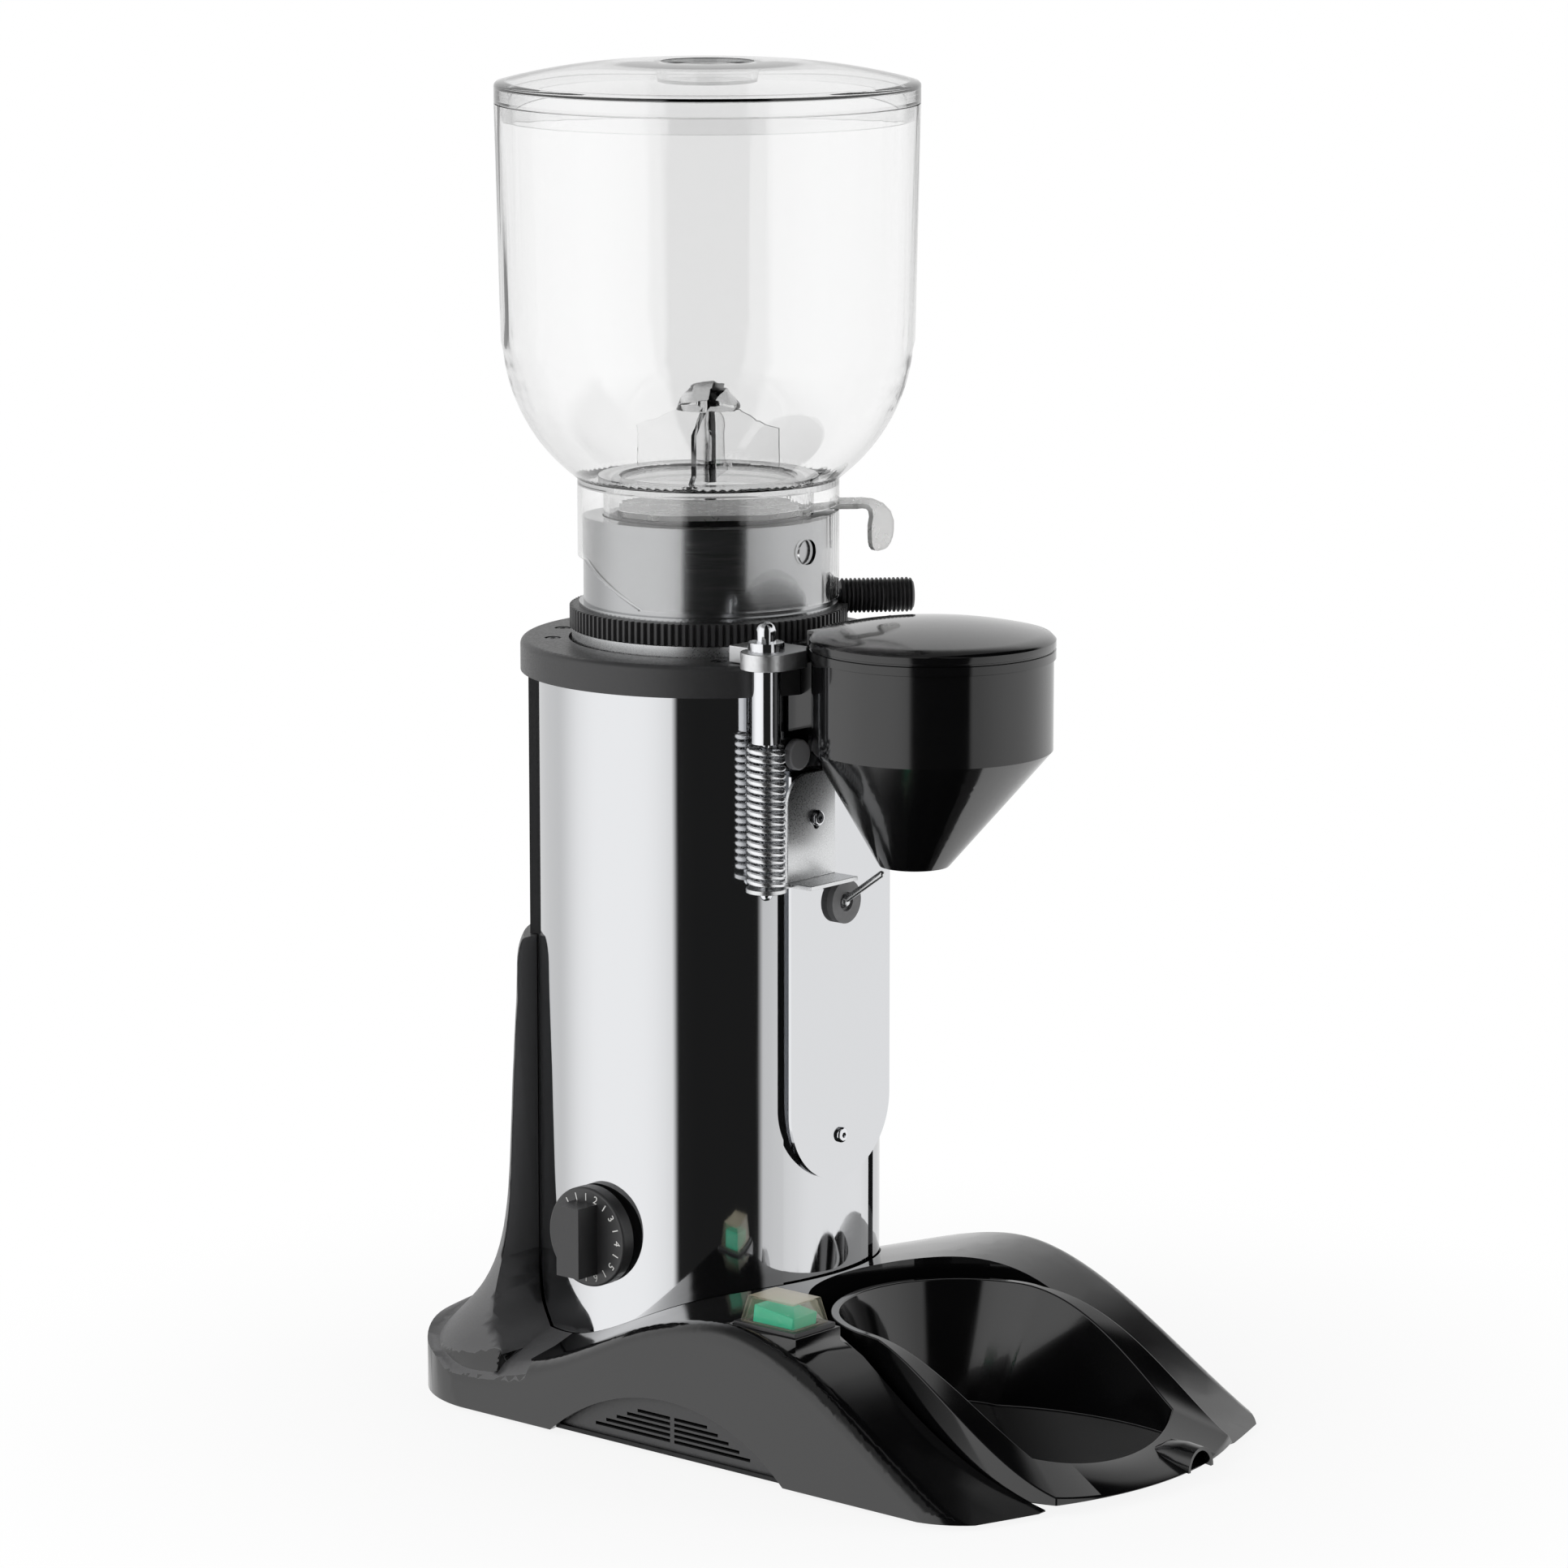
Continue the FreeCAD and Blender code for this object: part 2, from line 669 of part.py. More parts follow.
def tray_wire(z, grow, front):
    """Plan of the tray or its pocket: round back, bellied sides and a bowed front."""
    back = TRAY_BACK_R + grow
    belly = TRAY_BELLY + grow
    mouth = TRAY_MOUTH + grow
    turn = back * BEND
    return outline(
        V(mouth, TRAY_SHOULDER, z),
        (V(belly, TRAY_BELLY_Y, z), V(back, TRAY_MIDDLE, z)),
        (V(turn, TRAY_MIDDLE + turn, z), V(0, TRAY_MIDDLE + back, z)),
        (V(-turn, TRAY_MIDDLE + turn, z), V(-back, TRAY_MIDDLE, z)),
        (V(-belly, TRAY_BELLY_Y, z), V(-mouth, TRAY_SHOULDER, z)),
        (V(0, -front, z), V(mouth, TRAY_SHOULDER, z)),
    )


def tray_pocket(grow, floor):
    pocket = extruded(tray_wire(floor, grow, FRONT_REACH), V(0, 0, SPINE_TOP))
    mouth = TRAY_MOUTH + grow
    return pocket.fuse(block(-mouth, mouth, -2 * FRONT_REACH, TRAY_SHOULDER, floor, SPINE_TOP))


def vent_arch(x0, x1, grow, foot):
    rise = VENT_TOP + grow
    half = VENT_HALF_LENGTH + grow
    wire = outline(
        V(x0, VENT_MIDDLE + half, foot),
        (V(x0, VENT_MIDDLE, rise), V(x0, VENT_MIDDLE - half, foot)),
    )
    return extruded(wire, V(x1 - x0, 0, 0))


def foot_places():
    return [(side * x, y) for x, y in FOOT_SPOTS for side in (-1, 1)]


def power_box(width, length, z0, z1):
    return block(POWER_X - width / 2, POWER_X + width / 2, POWER_Y - length / 2, POWER_Y + length / 2, z0, z1)


def plinth_box(z0, z1):
    return power_box(BEZEL_WIDTH + 2 * PLINTH, BEZEL_LENGTH + 2 * PLINTH, z0, z1)


def base_shell():
    outer = base_body(0, SHELL_LIFT).fuse(fairing(0, SPINE_TOP))
    hollow = base_body(BASE_WALL, 0).fuse(fairing(BASE_WALL, FLARE_HOLLOW))
    walls = [cylinder(POCKET_R + POCKET_WALL, PLATE_TOP, SPINE_TOP), tray_pocket(BASE_WALL, PLATE_TOP)]
    walls += [cylinder(BOSS_R, PLATE_TOP, SPINE_TOP, x, y) for x, y in foot_places()]
    shell = outer.cut(hollow.cut(joined(walls)))
    shell = shell.fuse(plinth_box(POWER_Z - PLINTH_DEPTH, POWER_Z))
    holes = [cylinder(POCKET_R, 0, SPINE_TOP + OVERCUT), tray_pocket(0, 0), plinth_box(POWER_Z, SPINE_TOP)]
    holes.append(power_box(POWER_BODY_WIDTH + 2 * SHEET_FIT, POWER_BODY_LENGTH + 2 * SHEET_FIT,
                           POWER_Z - POWER_BODY_DEPTH, SPINE_TOP))
    holes += [cylinder(BOSS_BORE, 0, PLATE_LIFT + FOOT_SCREW_LENGTH, x, y) for x, y in foot_places()]
    inside = BASE_HALF_WIDTH - VENT_REACH
    beyond = BASE_HALF_WIDTH + OVERCUT
    holes += [vent_arch(-beyond, -inside, 0, 0), vent_arch(inside, beyond, 0, 0)]
    start = V(0, POCKET_R + POCKET_WALL + GLAND_CLEAR / 2, GLAND_Z)
    seat = V(0, REAR_REACH - GLAND_FLANGE, GLAND_Z)
    end = V(0, REAR_REACH + OVERCUT, GLAND_Z)
    holes.append(rod(GLAND_R + SHEET_FIT, start, end))
    holes.append(rod(GLAND_R + GLAND_FLANGE + SHEET_FIT, seat, end))
    return shell.cut(joined(holes))


def base_plate():
    lean = SIDE_DRAFT * (BASE_WALL + PLATE_TOP)
    plan = extruded(base_plan(BASE_WALL + PLATE_EDGE + lean), V(0, 0, SPINE_TOP))
    slab = block(-BASE_HALF_WIDTH, BASE_HALF_WIDTH, -PLATE_FRONT, REAR_REACH, PLATE_LIFT, PLATE_TOP)
    plate = slab.common(plan)
    cuts = [cylinder(FOOT_PLUG_R + SHEET_FIT, PLATE_LIFT, PLATE_TOP, x, y) for x, y in foot_places()]
    stands = []
    for side_x in (-1, 1):
        for side_y in (-1, 1):
            x = BOARD_SPOT[0] + side_x * (BOARD_SIZE[0] / 2 - BOARD_EDGE)
            y = BOARD_SPOT[1] + side_y * (BOARD_SIZE[1] / 2 - BOARD_EDGE)
            stands.append(cylinder(BOARD_STAND_R, PLATE_LIFT, PLATE_TOP + BOARD_STAND, x, y))
    return joined([plate.cut(joined(cuts))] + stands)


def rubber_feet():
    feet = []
    for x, y in foot_places():
        foot = joined([cylinder(FOOT_R, 0, PLATE_LIFT, x, y), cylinder(FOOT_PLUG_R, 0, PLATE_TOP, x, y)])
        bore = joined([cylinder(SCREW_R + SCREW_FIT, 0, PLATE_TOP, x, y),
                       cylinder(SCREW_HEAD_R + SCREW_FIT, 0, SCREW_HEAD_T + SCREW_FIT, x, y)])
        feet.append(foot.cut(bore))
    return Part.makeCompound(feet)


def foot_screws():
    screw = button_screw(FOOT_SCREW_LENGTH)
    seat = SCREW_HEAD_T + SCREW_FIT
    return Part.makeCompound([facing(screw, V(0, 0, -1), V(x, y, seat)) for x, y in foot_places()])


def vent_grille(side):
    wall = BASE_HALF_WIDTH - BASE_WALL - SIDE_DRAFT * (BASE_WALL + VENT_TOP + VENT_LAP)
    x0 = wall - VENT_DEPTH - VENT_T
    x1 = x0 + VENT_T
    grille = vent_arch(x0, x1, VENT_LAP, PLATE_TOP)
    slots = []
    for row in range(VENT_ROWS):
        z = VENT_FIRST + VENT_PITCH * row
        half = VENT_FIRST_HALF - VENT_TAPER * row
        for end in (-1, 1):
            y0, y1 = sorted((VENT_MIDDLE + end * VENT_RIB / 2, VENT_MIDDLE + end * half))
            slots.append(block(x0, x1, y0, y1, z - VENT_SLOT / 2, z + VENT_SLOT / 2))
    grille = grille.cut(joined(slots))
    return mirrored(grille) if side < 0 else grille


def cord_gland():
    face = REAR_REACH - SHEET_FIT
    seat = REAR_REACH - GLAND_FLANGE + SHEET_FIT
    inner = POCKET_R + POCKET_WALL + GLAND_CLEAR
    flange = rod(GLAND_R + GLAND_FLANGE, V(0, seat, GLAND_Z), V(0, face, GLAND_Z))
    barrel = rod(GLAND_R, V(0, inner, GLAND_Z), V(0, face, GLAND_Z))
    bore = rod(GLAND_R / 2, V(0, inner, GLAND_Z), V(0, face, GLAND_Z))
    return joined([flange, barrel]).cut(bore)


# Grounds tray
def tray_outer(inset):
    bottom = tray_wire(PLATE_TOP + TRAY_REST, -TRAY_GAP - inset, FRONT_REACH - inset)
    top = tray_wire(PLATE_TOP + TRAY_REST + TRAY_LOFT, -TRAY_GAP - TRAY_LEAN - inset,
                    FRONT_REACH - TRAY_LEAN - inset)
    body = Part.makeLoft([bottom, top], True, True)
    rim = [V(-BASE_HALF_WIDTH, y, z - inset) for y, z in TRAY_RIM]
    first = rim[0]
    last = rim[-1]
    low = PLATE_LIFT
    side = Part.Wire([
        smooth(rim),
        Part.LineSegment(last, V(last.x, last.y, low)).toShape(),
        Part.LineSegment(V(last.x, last.y, low), V(first.x, first.y, low)).toShape(),
        Part.LineSegment(V(first.x, first.y, low), first).toShape(),
    ])
    return body.common(extruded(side, V(2 * BASE_HALF_WIDTH, 0, 0)))


def tray_bowl(grow):
    floor_z = PLATE_TOP + TRAY_REST + TRAY_WALL - grow
    back = TRAY_FLOOR_R + grow
    mouth = TRAY_FLOOR_MOUTH + grow
    turn = back * BEND
    middle_x = (back + mouth) / 2 + TRAY_FLOOR_BELLY
    middle_y = (TRAY_FLOOR_Y + TRAY_FLOOR_SHOULDER) / 2
    floor = outline(
        V(mouth, TRAY_FLOOR_SHOULDER, floor_z),
        (V(middle_x, middle_y, floor_z), V(back, TRAY_FLOOR_Y, floor_z)),
        (V(turn, TRAY_FLOOR_Y + turn, floor_z), V(0, TRAY_FLOOR_Y + back, floor_z)),
        (V(-turn, TRAY_FLOOR_Y + turn, floor_z), V(-back, TRAY_FLOOR_Y, floor_z)),
        (V(-middle_x, middle_y, floor_z), V(-mouth, TRAY_FLOOR_SHOULDER, floor_z)),
        (V(0, -TRAY_FLOOR_FRONT - grow, floor_z), V(mouth, TRAY_FLOOR_SHOULDER, floor_z)),
    )
    shrink = TRAY_GAP + TRAY_LEAN + TRAY_WALL - grow
    top = tray_wire(PLATE_TOP + TRAY_REST + TRAY_LOFT, -shrink, FRONT_REACH - shrink)
    return Part.makeLoft([floor, top], True, True)


def grounds_tray():
    under = tray_outer(TRAY_WALL).cut(tray_bowl(TRAY_WALL))
    return tray_outer(0).cut(tray_bowl(0)).cut(under)


# Column
def column_tube():
    tube = ring(TUBE_R, TUBE_INNER, PLATE_TOP, CHAMBER_BASE)
    holes = [rod(LEVER_HOLE, V(0, 0, TRIGGER_Z), V(0, -COLUMN_R, TRIGGER_Z)),
             rod(DIAL_SHAFT_R + RUN_FIT, V(0, DIAL_Y, DIAL_Z), V(-COLUMN_R, DIAL_Y, DIAL_Z))]
    for x, z in screw_spots():
        holes.append(rod(SCREW_R + SCREW_FIT, V(x, 0, z), V(x, -COLUMN_R, z)))
    return tube.cut(joined(holes))


def cladding(side):
    sheet = ring(COLUMN_R, CLADDING_INNER, CLADDING_FOOT, CHAMBER_TOP - SHEET_FIT)
    front = math.degrees(math.asin(CLADDING_EDGE_X / COLUMN_R))
    sheet = sector(sheet, -90 + front, 90 - SPINE_HALF_ANGLE, 2 * COLUMN_R)
    if side > 0:
        return sheet
    sheet = mirrored(sheet)
    return sheet.cut(rod(DIAL_SHAFT_R + RUN_FIT, V(0, DIAL_Y, DIAL_Z), V(-2 * COLUMN_R, DIAL_Y, DIAL_Z)))


def rear_panel():
    outer = COLUMN_R + REAR_PANEL_T - CLADDING_T
    profile = outline(
        rz(CLADDING_INNER, CLADDING_FOOT), rz(COLUMN_R, CLADDING_FOOT),
        rz(COLUMN_R, SPINE_TOP + POCKET_FIT), rz(outer, SPINE_TOP + POCKET_FIT),
        rz(outer, CAP_BOTTOM - SHEET_FIT), rz(COLUMN_R, CAP_BOTTOM - SHEET_FIT),
        rz(COLUMN_R, CHAMBER_TOP - SHEET_FIT), rz(CLADDING_INNER, CHAMBER_TOP - SHEET_FIT),
    )
    slack = math.degrees(SHEET_FIT / COLUMN_R)
    half = SPINE_HALF_ANGLE - slack
    return sector(revolved(profile), 90 - half, 90 + half, 2 * COLUMN_R)


def chute_clearance(fit):
    half = CHUTE_HALF + fit
    return block(-half, half, -2 * COLUMN_R, -THREAD_RING_R + CHUTE_WALL, CHUTE_BOTTOM - fit, FUNNEL_TOP)


def cap_screw_places():
    return [polar(CAP_SCREW_R, angle, CAP_TOP - CAP_SCREW_SINK) for angle in CAP_SCREW_ANGLES]


def top_cap():
    hole = THREAD_RING_R + CAP_HOLE_FIT
    skirt = CAP_R - CAP_SKIRT
    corner = CAP_ROUND * ARC_MID
    profile = outline(
        rz(hole, CHAMBER_TOP), rz(skirt, CHAMBER_TOP), rz(skirt, CAP_BOTTOM), rz(CAP_R, CAP_BOTTOM),
        rz(CAP_R, CAP_TOP - CAP_ROUND),
        (rz(CAP_R - corner, CAP_TOP - corner), rz(CAP_R - CAP_ROUND, CAP_TOP)),
        rz(hole, CAP_TOP),
    )
    cap = revolved(profile).cut(chute_clearance(SHEET_FIT))
    holes = []
    for place in cap_screw_places():
        holes.append(cylinder(SCREW_HEAD_R + RUN_FIT, place.z, CAP_TOP + OVERCUT, place.x, place.y))
        holes.append(cylinder(SCREW_R + SCREW_FIT, 0, CAP_TOP, place.x, place.y))
    return cap.cut(joined(holes))


def cap_screws():
    screw = button_screw(TOP_FLANGE_T)
    return Part.makeCompound([facing(screw, UP, place) for place in cap_screw_places()])


def grinding_chamber():
    body = joined([
        cylinder(TUBE_R, CHAMBER_BASE, CHAMBER_BASE + CHAMBER_FLANGE),
        cylinder(CHAMBER_R, CHAMBER_BASE, CHAMBER_TOP),
        cylinder(TOP_FLANGE_R, CHAMBER_TOP - TOP_FLANGE_T, CHAMBER_TOP).cut(chute_clearance(SHEET_FIT)),
    ])
    half = CHUTE_HALF - CHUTE_WALL
    window = block(-half, half, -CHAMBER_R - OVERCUT, 0, CHUTE_BOTTOM + CHUTE_WALL, BARREL_BOTTOM)
    holes = [cylinder(BEARING_R - BEARING_LIP, CHAMBER_BASE, CHAMBER_FLOOR_Z),
             cylinder(CHAMBER_BORE, CHAMBER_FLOOR_Z, CHAMBER_TOP),
             cylinder(THREAD_R, CHAMBER_TOP - THREAD_DEPTH, CHAMBER_TOP), window]
    for place in cap_screw_places():
        holes.append(cylinder(SCREW_R + SCREW_FIT, place.z - TOP_FLANGE_T - SCREW_HEAD_T, CHAMBER_TOP,
                              place.x, place.y))
    return body.cut(joined(holes))


def thread_ring():
    return ring(THREAD_RING_R, THREAD_R, CHAMBER_TOP, THREAD_RING_TOP)


# Burrs and drive
def burr_cuts(z0, z1):
    cuts = []
    for index in range(BURR_CUTS):
        cut = block(BURR_BORE - OVERCUT, BURR_R + OVERCUT, 0, BURR_CUT_WIDTH, z0, z1)
        cuts.append(turned(cut, 360.0 * index / BURR_CUTS))
    return joined(cuts)


def upper_burr():
    bottom = BURR_TOP - BURR_T
    return ring(BURR_R, BURR_BORE, bottom, BURR_TOP).cut(burr_cuts(bottom - OVERCUT, bottom + BURR_CUT_DEPTH))


def lower_burr():
    cuts = burr_cuts(LOWER_BURR_TOP - BURR_CUT_DEPTH, LOWER_BURR_TOP + OVERCUT)
    return ring(BURR_R, BURR_BORE, CARRIER_TOP, LOWER_BURR_TOP).cut(cuts)


def burr_carrier():
    return ring(CARRIER_R, SHAFT_R + SHAFT_FIT, CARRIER_TOP - CARRIER_T, CARRIER_TOP)


def carrier_nut():
    nut = hexagon(NUT_FLATS, CARRIER_TOP, CARRIER_TOP + NUT_T)
    return nut.cut(cylinder(SHAFT_STUD_R + SHAFT_FIT, CARRIER_TOP, CARRIER_TOP + NUT_T))


def drive_shaft():
    return joined([cylinder(SHAFT_R, FAN_BOTTOM - SHAFT_STUB, CARRIER_TOP),
                   cylinder(SHAFT_STUD_R, CARRIER_TOP, CARRIER_TOP + NUT_T)])


def motor_rotor():
    return ring(STATOR_BORE - ROTOR_GAP, SHAFT_R + SHAFT_FIT, STATOR_BOTTOM + ROTOR_END,
                STATOR_TOP - ROTOR_END)


def motor_stator():
    return ring(STATOR_R, STATOR_BORE, STATOR_BOTTOM, STATOR_TOP)


def stator_windings():
    return Part.makeCompound([
        ring(WINDING_OUTER, WINDING_INNER, STATOR_TOP, STATOR_TOP + WINDING_L),
        ring(WINDING_OUTER, WINDING_INNER, STATOR_BOTTOM - WINDING_L, STATOR_BOTTOM),
    ])


def tie_bolt_places():
    return [polar(TIE_BOLT_RING, 45 + 90 * index) for index in range(4)]


def tie_bolt_holes(z0, z1):
    return [cylinder(TIE_BOLT_R + SCREW_FIT, z0, z1, place.x, place.y) for place in tie_bolt_places()]


def upper_bell():
    bottom = BELL_TOP - BELL_T
    bell = joined([cylinder(TUBE_INNER - SHEET_FIT, bottom, BELL_TOP),
                   ring(STATOR_R, STATOR_R - BELL_WALL, STATOR_TOP, bottom)])
    holes = [cylinder(BEARING_R + SHAFT_FIT, bottom, bottom + BEARING_T),
             cylinder(BEARING_R - BEARING_LIP, bottom, BELL_TOP)]
    return bell.cut(joined(holes + tie_bolt_holes(bottom, bottom + TIE_BOLT_BITE)))


def lower_bell():
    bell = joined([cylinder(TUBE_INNER - LOWER_BELL_INSET, LOWER_BELL_BOTTOM, LOWER_BELL_TOP),
                   ring(STATOR_R, STATOR_R - BELL_WALL, LOWER_BELL_TOP, STATOR_BOTTOM)])
    holes = [cylinder(BEARING_R + SHAFT_FIT, LOWER_BELL_TOP - BEARING_T, LOWER_BELL_TOP),
             cylinder(BEARING_R - BEARING_LIP, LOWER_BELL_BOTTOM, LOWER_BELL_TOP)]
    return bell.cut(joined(holes + tie_bolt_holes(LOWER_BELL_BOTTOM, LOWER_BELL_TOP)))


def shaft_bearings():
    upper = BELL_TOP - BELL_T
    lower = LOWER_BELL_TOP - BEARING_T
    return Part.makeCompound([
        ring(BEARING_R, SHAFT_R + SHAFT_FIT, upper, upper + BEARING_T),
        ring(BEARING_R, SHAFT_R + SHAFT_FIT, lower, lower + BEARING_T),
    ])


def tie_bolts():
    top = BELL_TOP - BELL_T + TIE_BOLT_BITE - SCREW_FIT
    bolts = []
    for place in tie_bolt_places():
        head = cylinder(TIE_BOLT_HEAD_R, LOWER_BELL_BOTTOM - TIE_BOLT_HEAD, LOWER_BELL_BOTTOM,
                        place.x, place.y)
        bolts.append(joined([head, cylinder(TIE_BOLT_R, LOWER_BELL_BOTTOM, top, place.x, place.y)]))
    return Part.makeCompound(bolts)


def cooling_fan():
    pieces = [cylinder(FAN_HUB_R, FAN_BOTTOM, FAN_TOP), cylinder(FAN_R, FAN_BOTTOM, FAN_BOTTOM + FAN_BLADE_T)]
    blade = block(FAN_HUB_R - FAN_BLADE_T, FAN_R, -FAN_BLADE_T / 2, FAN_BLADE_T / 2, FAN_BOTTOM, FAN_TOP)
    pieces += [turned(blade, 360.0 * index / FAN_BLADES) for index in range(FAN_BLADES)]
    return joined(pieces).cut(cylinder(SHAFT_R + SHAFT_FIT, FAN_BOTTOM, FAN_TOP))


def start_capacitor():
    x, y = CAPACITOR_SPOT
    top = PLATE_TOP + CAPACITOR_L
    return joined([cylinder(CAPACITOR_R, PLATE_TOP, top, x, y),
                   cylinder(TERMINAL_R, top, top + TERMINAL_L, x - TERMINAL_X, y),
                   cylinder(TERMINAL_R, top, top + TERMINAL_L, x + TERMINAL_X, y)])


def control_board():
    x, y = BOARD_SPOT
    z = PLATE_TOP + BOARD_STAND
    board = block(x - BOARD_SIZE[0] / 2, x + BOARD_SIZE[0] / 2, y - BOARD_SIZE[1] / 2, y + BOARD_SIZE[1] / 2,
                  z, z + BOARD_T)
    relay = block(x, x + RELAY_SIZE[0], y, y + RELAY_SIZE[1], z + BOARD_T, z + BOARD_T + RELAY_SIZE[2])
    return Part.makeCompound([board, relay])


# Adjusting collar
def handle_way(radius, start, end):
    return rod(radius, polar(start, HANDLE_ANGLE, HANDLE_AXIS_Z), polar(end, HANDLE_ANGLE, HANDLE_AXIS_Z))


def adjusting_collar():
    lip = COLLAR_R + COLLAR_LIP
    body = joined([cylinder(THREAD_R - RUN_FIT, BARREL_BOTTOM, COLLAR_UNDER),
                   cylinder(COLLAR_R, COLLAR_UNDER, COLLAR_TOP),
                   cylinder(lip, GEAR_TOP, GEAR_TOP + COLLAR_LIP_T)])
    holes = [cylinder(BURR_R + SHAFT_FIT, BARREL_BOTTOM, BURR_TOP),
             cylinder(THROAT_R, BARREL_BOTTOM, COLLAR_TOP),
             cylinder(CUP_R, CUP_FLOOR, COLLAR_TOP),
             handle_way(HANDLE_ROD_R + GRIP_FIT, COLLAR_R - HANDLE_BITE, GRIP_END)]
    return body.cut(joined(holes))


def gear_ring():
    root = GEAR_R - GEAR_TOOTH
    step = 360.0 / GEAR_TEETH
    points = []
    for tooth in range(GEAR_TEETH):
        for share, height in GEAR_PROFILE:
            points.append(polar(root + GEAR_TOOTH * height, step * (tooth + share), GEAR_BOTTOM))
    gear = extruded(outline(*points), V(0, 0, GEAR_T))
    holes = [cylinder(COLLAR_R + GEAR_FIT, GEAR_BOTTOM, GEAR_TOP),
             handle_way(HANDLE_ROD_R + GEAR_FIT, COLLAR_R - HANDLE_BITE, GRIP_END)]
    return gear.cut(joined(holes))


def handle_rod():
    return handle_way(HANDLE_ROD_R, COLLAR_R - HANDLE_BITE, GRIP_END - GRIP_R / 2)


def handle_grip():
    length = GRIP_END - GRIP_START
    pitch = length / (GRIP_RIBS + 1)
    root = GRIP_R - GRIP_GROOVE
    points = [rz(0, 0), rz(GRIP_R, 0)]
    for rib in range(GRIP_RIBS):
        z = pitch * (rib + 0.5)
        points += [rz(GRIP_R, z), rz(root, z + pitch / 6), rz(root, z + pitch / 3), rz(GRIP_R, z + pitch / 2)]
    points += [rz(GRIP_R, length - GRIP_GROOVE), rz(root, length), rz(0, length)]
    grip = revolved(outline(*points))
    grip = facing(grip, polar(1, HANDLE_ANGLE), polar(GRIP_START, HANDLE_ANGLE, HANDLE_AXIS_Z))
    return grip.cut(handle_way(HANDLE_ROD_R + GRIP_FIT, 0, GRIP_END - GRIP_R / 2 + GRIP_FIT))


# Hopper
def hopper_bowl():
    inner = HOPPER_WALL
    bowl = outline(
        rz(HOPPER_R, HOPPER_RIM), rz(SHOULDER_R, SHOULDER_Z), rz(BOWL_R, BOWL_Z),
        (rz(BOWL_MID_R, BOWL_MID_Z), rz(SKIRT_R, THROAT_Z + THROAT_PLATE)),
        rz(SKIRT_R, THROAT_Z),
        rz(NECK_R, THROAT_Z),
        rz(NECK_R, CUP_FLOOR + SHEET_FIT), rz(NECK_R - NECK_WALL, CUP_FLOOR + SHEET_FIT),
        rz(NECK_R - NECK_WALL, THROAT_Z + THROAT_PLATE),
        rz(SKIRT_R - inner, THROAT_Z + THROAT_PLATE),
        (rz(BOWL_MID_R - inner * 0.8, BOWL_MID_Z + inner * 0.6), rz(BOWL_R - inner, BOWL_Z)),
        rz(SHOULDER_R - inner, SHOULDER_Z), rz(HOPPER_R - inner, HOPPER_RIM),
    )
    skirt = ring(SKIRT_R, SKIRT_R - SKIRT_WALL, THROAT_Z - SKIRT_DROP, THROAT_Z)
    cuts = [rod(KEYHOLE_R, V(0, 0, KEYHOLE_Z), V(0, -HOPPER_R, KEYHOLE_Z))]
    way = block(CUP_R, GRIP_START, -SKIRT_NOTCH, SKIRT_NOTCH, THROAT_Z - SKIRT_DROP,
                HANDLE_AXIS_Z + SKIRT_NOTCH)
    cuts.append(turned(way, HANDLE_ANGLE))
    (low_y, low_z), (high_y, high_z) = SKIRT_CUT
    slope = outline(V(-HOPPER_R, low_y, 0), V(-HOPPER_R, low_y, low_z), V(-HOPPER_R, high_y, high_z),
                    V(-HOPPER_R, HOPPER_R, high_z), V(-HOPPER_R, HOPPER_R, 0))
    cuts.append(extruded(slope, V(HOPPER_R, 0, 0)))
    half = GATE_HALF + GATE_FIT
    slot = block(-half, HOPPER_R, -half, half, GATE_Z - GATE_FIT, GATE_Z + GATE_T + GATE_FIT)
    slot = turned(slot, GATE_ANGLE)
    return joined([revolved(bowl).cut(slot), skirt.cut(joined(cuts + [slot]))])


def hopper_gate():
    plate = block(-GATE_HALF, GATE_HALF, -GATE_HALF, GATE_HALF, GATE_Z, GATE_Z + GATE_T)
    plate = plate.common(cylinder(NECK_R - GATE_FIT, GATE_Z, GATE_Z + GATE_T))
    tab = block(0, GATE_REACH, -GATE_TAB_HALF, GATE_TAB_HALF, GATE_Z, GATE_Z + GATE_T)
    top = GATE_Z + GATE_T
    inner = HOOK_R - GATE_T
    hook = outline(
        V(GATE_REACH, -GATE_TAB_HALF, top),
        (V(GATE_REACH + HOOK_R * BEND, -GATE_TAB_HALF, top - HOOK_R * ARC_MID),
         V(GATE_REACH + HOOK_R, -GATE_TAB_HALF, top - HOOK_R)),
        V(GATE_REACH + HOOK_R, -GATE_TAB_HALF, top - HOOK_R - HOOK_DROP),
        V(GATE_REACH + inner, -GATE_TAB_HALF, top - HOOK_R - HOOK_DROP),
        V(GATE_REACH + inner, -GATE_TAB_HALF, top - HOOK_R),
        (V(GATE_REACH + inner * BEND, -GATE_TAB_HALF, top - HOOK_R + inner * BEND),
         V(GATE_REACH, -GATE_TAB_HALF, GATE_Z)),
    )
    return turned(joined([plate, tab, extruded(hook, V(0, 2 * GATE_TAB_HALF, 0))]), GATE_ANGLE)


